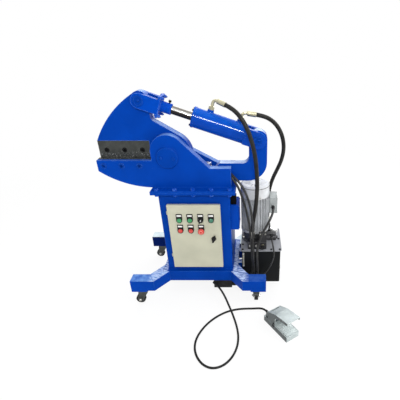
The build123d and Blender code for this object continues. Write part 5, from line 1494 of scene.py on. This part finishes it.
@dataclass
class DoorTrim:
    """Legend windows, lock, stiffener and contact blocks of the control box's door."""

    columns: tuple[float, float, float, float] = (-82.0, -27.5, 27.0, 81.5)
    rows: Ring = (496.0, 434.0)
    legend_front: float = -170.5
    window_rise: float = 25.0
    lock: Point = (89.0, -168.0, 382.0)
    stiffener: Point = (-5.0, -148.3, 388.0)
    selector: Point = (27.0, -188.0, 496.0)
    selector_lean: float = 30.0
    mark_rise: float = 5.0
    mushroom: Point = (27.0, -192.0, 434.0)
    contact: Ring = (8.0, 14.0)
    contact_front: float = -152.4
    contact_back: float = -111.4
    contact_screws: Ring = (-7.0, 7.0)
    tongue_y: float = -121.0
    tongue_reach: float = 9.0
    tongue_half: float = 1.4

    def build(self) -> None:
        """Make and fit the pieces."""
        upper, lower = self.rows
        places = [(x, upper) for x in self.columns] + [(x, lower) for x in self.columns[:3]]
        self.legends(places)
        fit(turned("lock_plate", [
            (12.6, 0), (13, 0.4), (13, 1.2), (12.2, 1.8), (11.2, 1.8), (10.8, 1.2), (9.0, 1.0),
        ], 48, aimed(self.lock, FRONT)), BLACK, Body.DOOR)
        fit(block(
            "door_stiffener", (236, 8, 346), 0.8, Recess(BACK, 14, 7.6), shift(*self.stiffener)
        ), CREAM, Body.DOOR)
        lean = Matrix.Rotation(math.radians(self.selector_lean), 4, "Y") @ shift(0, 0, self.mark_rise)
        mark = block("selector_mark", (2.4, 0.8, 11), 0.3, place=shift(*self.selector) @ lean)
        fit(mark, WHITE, Body.SELECTOR)
        # Pale ring on the mushroom's face: a painted highlight.
        fit(turned("mushroom_ring", [
            (7.2, -0.6), (9.9, -0.6), (9.7, 0.2), (9.1, 0.5), (7.9, 0.5), (7.4, 0.2),
        ], 48, aimed(self.mushroom, FRONT), hollow=True), HIGHLIGHT_RED, Body.STOP)
        self.backs(places)
        self.tongue()

    def legends(self, places: Sequence[Ring]) -> None:
        """Fit a blank legend in its frame above each control.

        Args:
            places: X and Z of the controls.
        """
        for name, size, edge, recess, sunk, finish in (
            ("legend_frames", (28, 1.6, 14), 0.35, Recess(FRONT, 2.4, 1.0), 0.6, BLACK),
            ("blank_labels", (23, 0.9, 9), 0.25, Recess(FRONT, 1.2, -0.15), 0.75, WHITE),
        ):
            spread(block("legend", size, edge, recess), name, [
                shift(x, self.legend_front - sunk, z + self.window_rise) for x, z in places
            ], finish, Body.DOOR)

    def backs(self, places: Sequence[Ring]) -> None:
        """Fit a contact block with its screws behind each control.

        Args:
            places: X and Z of the controls.
        """
        bore, half = (width * math.sqrt(2) for width in self.contact)
        spread(turned("block", [
            (bore, 39.2), (bore, 0), (half, 0), (half, 24), (half * 0.9, 25), (half * 0.9, 30), (half, 31),
            (half, 40.6), (half * 0.95, 41.2),
        ], 4), "contact_blocks", [
            aimed((x, self.contact_front, z), BACK, 45) for x, z in places
        ], BLACK, Body.DOOR)
        spread(socket_head(6, 1.2), "contact_screws", [
            aimed((x + side, self.contact_back, z), BACK) for x, z in places for side in self.contact_screws
        ], ZINC, Body.DOOR)

    def tongue(self) -> None:
        """Fit the lock's tongue and its nut."""
        x, _, z = self.lock
        tongue = block(
            "tongue", (32, 3, 14), 0.6, Recess(BACK, 3, -0.8), shift(x + self.tongue_reach, self.tongue_y, z)
        )
        place = aimed((x, self.tongue_y + self.tongue_half, z), BACK)
        head = repeat(hex_head(13, 5, 1), "nut", [place])
        fit(join([tongue, head], "lock_tongue"), ZINC, Body.LOCK)


@dataclass
class GearTrim:
    """Faces, terminals and screws of the control gear in the box."""

    front: float = -36.0
    contactors: Ring = (-67.0, -13.0)
    breaker: float = 55.0
    height: float = 458.0
    row: Ring = (-25.0, 278.0)
    terminals: int = 17
    pitch: float = 9.0
    face_out: float = 1.5
    lever: Ring = (1.8, 3.0)
    screw_sunk: float = 0.2
    screw_sides: Point = (-13.0, 0.0, 13.0)
    screw_rises: Ring = (-30.0, 30.0)
    terminal_out: float = 2.0
    terminal_screw: Ring = (3.1, 14.0)

    def build(self) -> None:
        """Make and fit the pieces."""
        cases = (*self.contactors, self.breaker)
        spread(block("face", (37, 8, 40), 0.8, Recess(FRONT, 8, 3)), "gear_faces", [
            shift(x, self.front - self.face_out, self.height) for x in cases
        ], BLACK)
        fit(block(
            "breaker_lever", (13, 8, 9), 1.2, Recess(FRONT, 2.5, 0.8),
            shift(self.breaker, self.front - self.lever[0], self.height + self.lever[1]),
        ), RED)
        spread(socket_head(8, 2), "gear_screws", [
            aimed((x + side, self.front + self.screw_sunk, self.height + rise), FRONT)
            for x in cases for side in self.screw_sides for rise in self.screw_rises
        ], ZINC)
        x, z = self.row
        starts = [x + self.pitch * (i - (self.terminals - 1) / 2) for i in range(self.terminals)]
        spread(block("terminal", (7.6, 7, 42), 0.5, Recess(FRONT, 1.6, 2.2)), "terminal_blocks", [
            shift(start, self.front - self.terminal_out, z) for start in starts
        ], BLACK)
        out, rise = self.terminal_screw
        spread(socket_head(4.2, 1.6), "terminal_screws", [
            aimed((start, self.front - out, z + rise * end), FRONT) for start in starts for end in ENDS
        ], ZINC)


@dataclass
class PowerTrim:
    """Fittings of the tank, the motor, the valves and the two electric boxes."""

    motor: Ring = (308.0, 25.0)
    flange_under: float = 342.0
    flange_circle: float = 72.0
    foot_top: float = 286.0
    foot_circle: float = 71.0
    cover_top: float = 276.0
    cover_screws: Sequence[Ring] = (
        (239, -114), (239, 114), (447, -114), (447, 114), (447, 0), (400, -114), (330, 114), (239, -62),
    )
    fan_screw_z: float = 563.0
    fan_seam_z: float = 614.0
    fan_radius: float = 80.0
    filler: Point = (418.0, 30.0, 313.0)
    filler_radius: float = 23.0
    gauge: Point = (243.0, -118.0, 218.0)
    gauge_out: Point = (5.5, 8.6, 10.8)
    gauge_screw: float = 41.0
    cover_turn: float = 23.0
    drain: Point = (452.0, 0.0, 74.0)
    valve_top: float = 366.0
    valve_screws: tuple[Ring, Ring] = ((337.0, 365.0), (-100.0, -72.0))
    plugs: Ring = (283.0, 316.0)
    relief: Point = (350.0, -109.0, 298.0)
    crimps: Sequence[Point] = ((294.0, -86.0, 338.5), (384.0, 96.0, 338.5))
    terminal: Point = (428.5, 25.0, 505.0)
    junction: Point = (223.2, -72.0, 487.0)

    def build(self) -> None:
        """Make and fit the pieces."""
        self.tank()
        self.drive()
        self.valves()
        self.boxes()

    def ring(self, radius: float, height: float, count: int, start: float) -> list[Point]:
        """Return places around the motor's axis at a height, the first one at an angle in degrees."""
        x, y = self.motor
        return [(x + side, y + back, height) for side, back in circle(radius, count, start)]

    def tank(self) -> None:
        """Fit the level gauge, the drain plug, the cover's screws and the filler's grip."""
        x, y, z = self.gauge
        case, glass, screw = (y - out for out in self.gauge_out)
        fit(block("level_gauge", (13, 11, 92), 1.2, Recess(FRONT, 2.6, 3.5), shift(x, case, z)), BELL_GREY)
        fit(block("gauge_glass", (7, 3, 80), 0.6, Recess(FRONT, 1.6, -0.5), shift(x, glass, z)), GLASS)
        spread(hex_head(9, 4, 1), "gauge_screws", [
            aimed((x, screw, z + self.gauge_screw * end), FRONT, 15) for end in ENDS
        ], ZINC)
        spread(hex_head(22, 9, 3), "drain_plug", [aimed(self.drain, RIGHT, 8)], ZINC)
        spread(hex_head(10, 5, 1.2), "cover_screws", [
            aimed((*place, self.cover_top), UP, self.cover_turn * i)
            for i, place in enumerate(self.cover_screws)
        ], BOLT_BLACK)
        x, y, z = self.filler
        rib = turned("rib", [(0.9, 0), (1.7, 1), (1.7, 17), (0.9, 18)], 8)
        spread(rib, "filler_grip", [
            shift(x + side, y + back, z) for side, back in circle(self.filler_radius, 24)
        ], BRIGHT)

    def drive(self) -> None:
        """Bolt the motor to its bell housing, the housing to the cover and the fan cover to the motor."""
        spread(hex_head(11, 6, 1.4), "motor_flange_bolts", [
            aimed(place, DOWN, 17) for place in self.ring(self.flange_circle, self.flange_under, 4, 45)
        ], ZINC)
        spread(hex_head(10, 6, 1.2), "bell_foot_bolts", [
            aimed(place, UP, 31) for place in self.ring(self.foot_circle, self.foot_top, 6, 20)
        ], ZINC)
        x, y = self.motor
        r = self.fan_radius
        spread(socket_head(9, 3.5), "fan_cover_screws", [
            aimed(place, (place[0] - x, place[1] - y, 0)) for place in self.ring(r, self.fan_screw_z, 4, 20)
        ], ZINC)
        fit(turned("fan_cover_seam", [
            (r - 0.6, -1.4), (r + 0.7, -1.4), (r + 1.1, -0.6), (r + 1.1, 0.6), (r + 0.7, 1.4), (r - 0.6, 1.4),
        ], 96, shift(x, y, self.fan_seam_z), hollow=True), BELL_GREY)

    def valves(self) -> None:
        """Dress the valve block: screws, plugs, relief knob and crimped ends of the hoses."""
        columns, rows = self.valve_screws
        spread(socket_head(8.5, 5), "valve_screws", [
            aimed((x, y, self.valve_top), UP) for x in columns for y in rows
        ], ZINC)
        spread(socket_head(16, 3), "block_plugs", [
            aimed((x, *self.relief[1:]), FRONT) for x in self.plugs
        ], ZINC)
        fit(turned("relief_knob", [
            (8.4, 0), (8.4, 5), (5.0, 5.2), (5.0, 9), (10.4, 9.4), (11, 10.4), (9.9, 12.4), (11, 14.4),
            (9.9, 16.4), (11, 18.4), (11, 21.4), (9.8, 23), (3.0, 23.4),
        ], 20, aimed(self.relief, FRONT)), BLACK)
        spread(hex_head(15, 4, 1), "relief_lock_nut", [aimed(self.relief, FRONT, 12)], BRASSY)
        spread(turned("sleeve", [
            (11.0, 0), (13.4, 0.6), (13.4, 5), (12.8, 6.4), (13.5, 8), (13.5, 13), (12.8, 14.4), (13.5, 16),
            (13.5, 21), (12.8, 22.4), (13.5, 24), (13.5, 29), (12.8, 30.4), (13.4, 32), (13.4, 38),
            (12.4, 40), (11.0, 40),
        ], 24), "hose_crimps", [shift(*place) for place in self.crimps], ZINC)

    def boxes(self) -> None:
        """Close the terminal box and the junction box with screwed lids."""
        for name, place, size, edge, recess, finish, (face, half, rise) in (
            ("terminal", self.terminal, (5, 88, 94), 1.6, Recess(RIGHT, 9, -1.4), BOX_GREY, (431, 39, 42)),
            ("junction", self.junction, (4, 102, 136), 1.0, Recess(RIGHT, 7, 0.8), BLUE, (225, 47, 64)),
        ):
            fit(block(f"{name}_lid", size, edge, recess, shift(*place)), finish)
            spread(socket_head(7, 2.4), f"{name}_lid_screws", [
                aimed((face, place[1] + half * side, place[2] + rise * end), RIGHT)
                for side in ENDS for end in ENDS
            ], ZINC)


@dataclass
class GlandTrim:
    """Hex nuts and tapered reliefs where the cables leave the boxes, and grommets in the body plate."""

    nut_radius: float = 10.2
    ribs: int = 6
    grommets: Sequence[Point] = ((189.4, -96.0, 719.0), (189.4, -108.0, 708.6))
    glands: Sequence[tuple[str, Point, Point, float, float]] = (
        ("upper_switch", (191, -152, 86), RIGHT, 6.0, 24.0),
        ("lower_switch", (191, -132, 86), RIGHT, 6.0, 24.0),
        ("motor", (191, -152, 64), RIGHT, 6.5, 24.0),
        ("valve", (191, -132, 64), RIGHT, 4.5, 24.0),
        ("terminal", (407, -36, 502), FRONT, 6.5, 24.0),
        ("coil", (398, -100, 362), FRONT, 4.5, 20.0),
        ("pedal_cord", (89.9, -177.5, 74.7), (0.6214, -0.7795, -0.0795), 5.5, 24.0),
        ("pedal", (378.8, -334.9, 16), (-0.5736, 0.8192, 0.0), 5.5, 20.0),
    )

    def relief(self, name: str, tip: Point, aim: Point, cable: float, length: float) -> None:
        """Fit a gland nut and the ribbed taper that holds the cable.

        Args:
            name: Name of the gland.
            tip: End of the gland that the cable leaves.
            aim: Direction in which the cable leaves.
            cable: Radius of the cable.
            length: Length of the taper.
        """
        wide, thin = cable + 3.0, cable + 0.9
        rings = [(cable + 3.4, -3.0), (cable + 3.2, 1.0)]
        for i in range(self.ribs):
            share = i / (self.ribs - 1)
            radius = wide + (thin - wide) * share
            rings += [(radius, 2.0 + (length - 4.0) * share), (radius - 0.7, 3.6 + (length - 4.0) * share)]
        taper = turned("taper", [*rings, (thin - 0.5, length)], 24, aimed(tip, aim))
        r = self.nut_radius
        hexagon = turned("nut", [
            (r * 0.94, -11), (r, -10.2), (r, -3.4), (r * 0.9, -2.2), (r * 0.7, -1.8),
        ], 6, aimed(tip, aim, 30))
        fit(join([hexagon, taper], f"gland_{name}"), BLACK)

    def build(self) -> None:
        """Fit every gland and both grommets."""
        for gland in self.glands:
            self.relief(*gland)
        spread(turned("grommet", [
            (7.0, -2), (7.6, -1.6), (7.6, 1.2), (7.2, 2.6), (6.6, 3.2), (6.0, 3.4),
        ], 24), "plate_grommets", [aimed(place, RIGHT) for place in self.grommets], BLACK)


@dataclass
class PedalTrim:
    """Screws and pivot ends on the sides of the foot pedal."""

    origin: Point = (388.0, -348.0, 0.0)
    along: Point = (0.5736, -0.8192, 0.0)
    across: Point = (0.8192, 0.5736, 0.0)
    half_width: float = 40.0
    screw_reach: Ring = (28.0, 82.0)
    screw_height: float = 42.0
    pin: Ring = (80.0, 25.0)

    def side(self, end: int, reach: float, height: float) -> Matrix:
        """Find a place on one side of the pedal.

        Args:
            end: -1 for the left side or 1 for the right one.
            reach: Distance from the back end along the pedal.
            height: Height above the floor.

        Returns:
            The place, which looks away from the pedal.
        """
        across = Vector(self.across)
        foot = Vector(self.origin) + Vector(self.along) * reach + across * (end * self.half_width)
        return aimed(foot + Vector((0, 0, height)), across * end)

    def build(self) -> None:
        """Make and fit the pieces."""
        spread(socket_head(9, 3), "hood_screws", [
            self.side(end, reach, self.screw_height) for end in ENDS for reach in self.screw_reach
        ], BOLT_BLACK)
        spread(turned("end", [
            (7.4, 0), (7.6, 0.5), (7.0, 2.0), (4.6, 3.2), (1.6, 3.5),
        ], 24), "treadle_pin_ends", [self.side(end, *self.pin) for end in ENDS], BOLT_BLACK)


@dataclass
class CasterTrim:
    """Axle nuts of one caster."""

    corner: Corner
    half_fork: float = 17.0

    def build(self) -> None:
        """Put a nut on each end of the axle."""
        label, axle, centre = self.corner.label, self.corner.axle(), self.corner.centre() / MM
        spread(nut(12, 4.5, 1.6), f"axle_nuts_{label}", [
            aimed(centre + axle * end * self.half_fork, axle * end, 14) for end in ENDS
        ], ZINC, Body(f"swivel_{label}"))


def main() -> None:
    """Build the machine's dress in order."""
    logging.basicConfig(level=logging.INFO, format="%(message)s")
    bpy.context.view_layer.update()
    PAINT.coat_frame()
    Stage().build()
    Cords().build()
    RamTrim().build()
    BodyTrim().build()
    DoorTrim().build()
    GearTrim().build()
    PowerTrim().build()
    GlandTrim().build()
    PedalTrim().build()
    for corner in Corner:
        CasterTrim(corner).build()


if __name__ == "__main__":
    main()
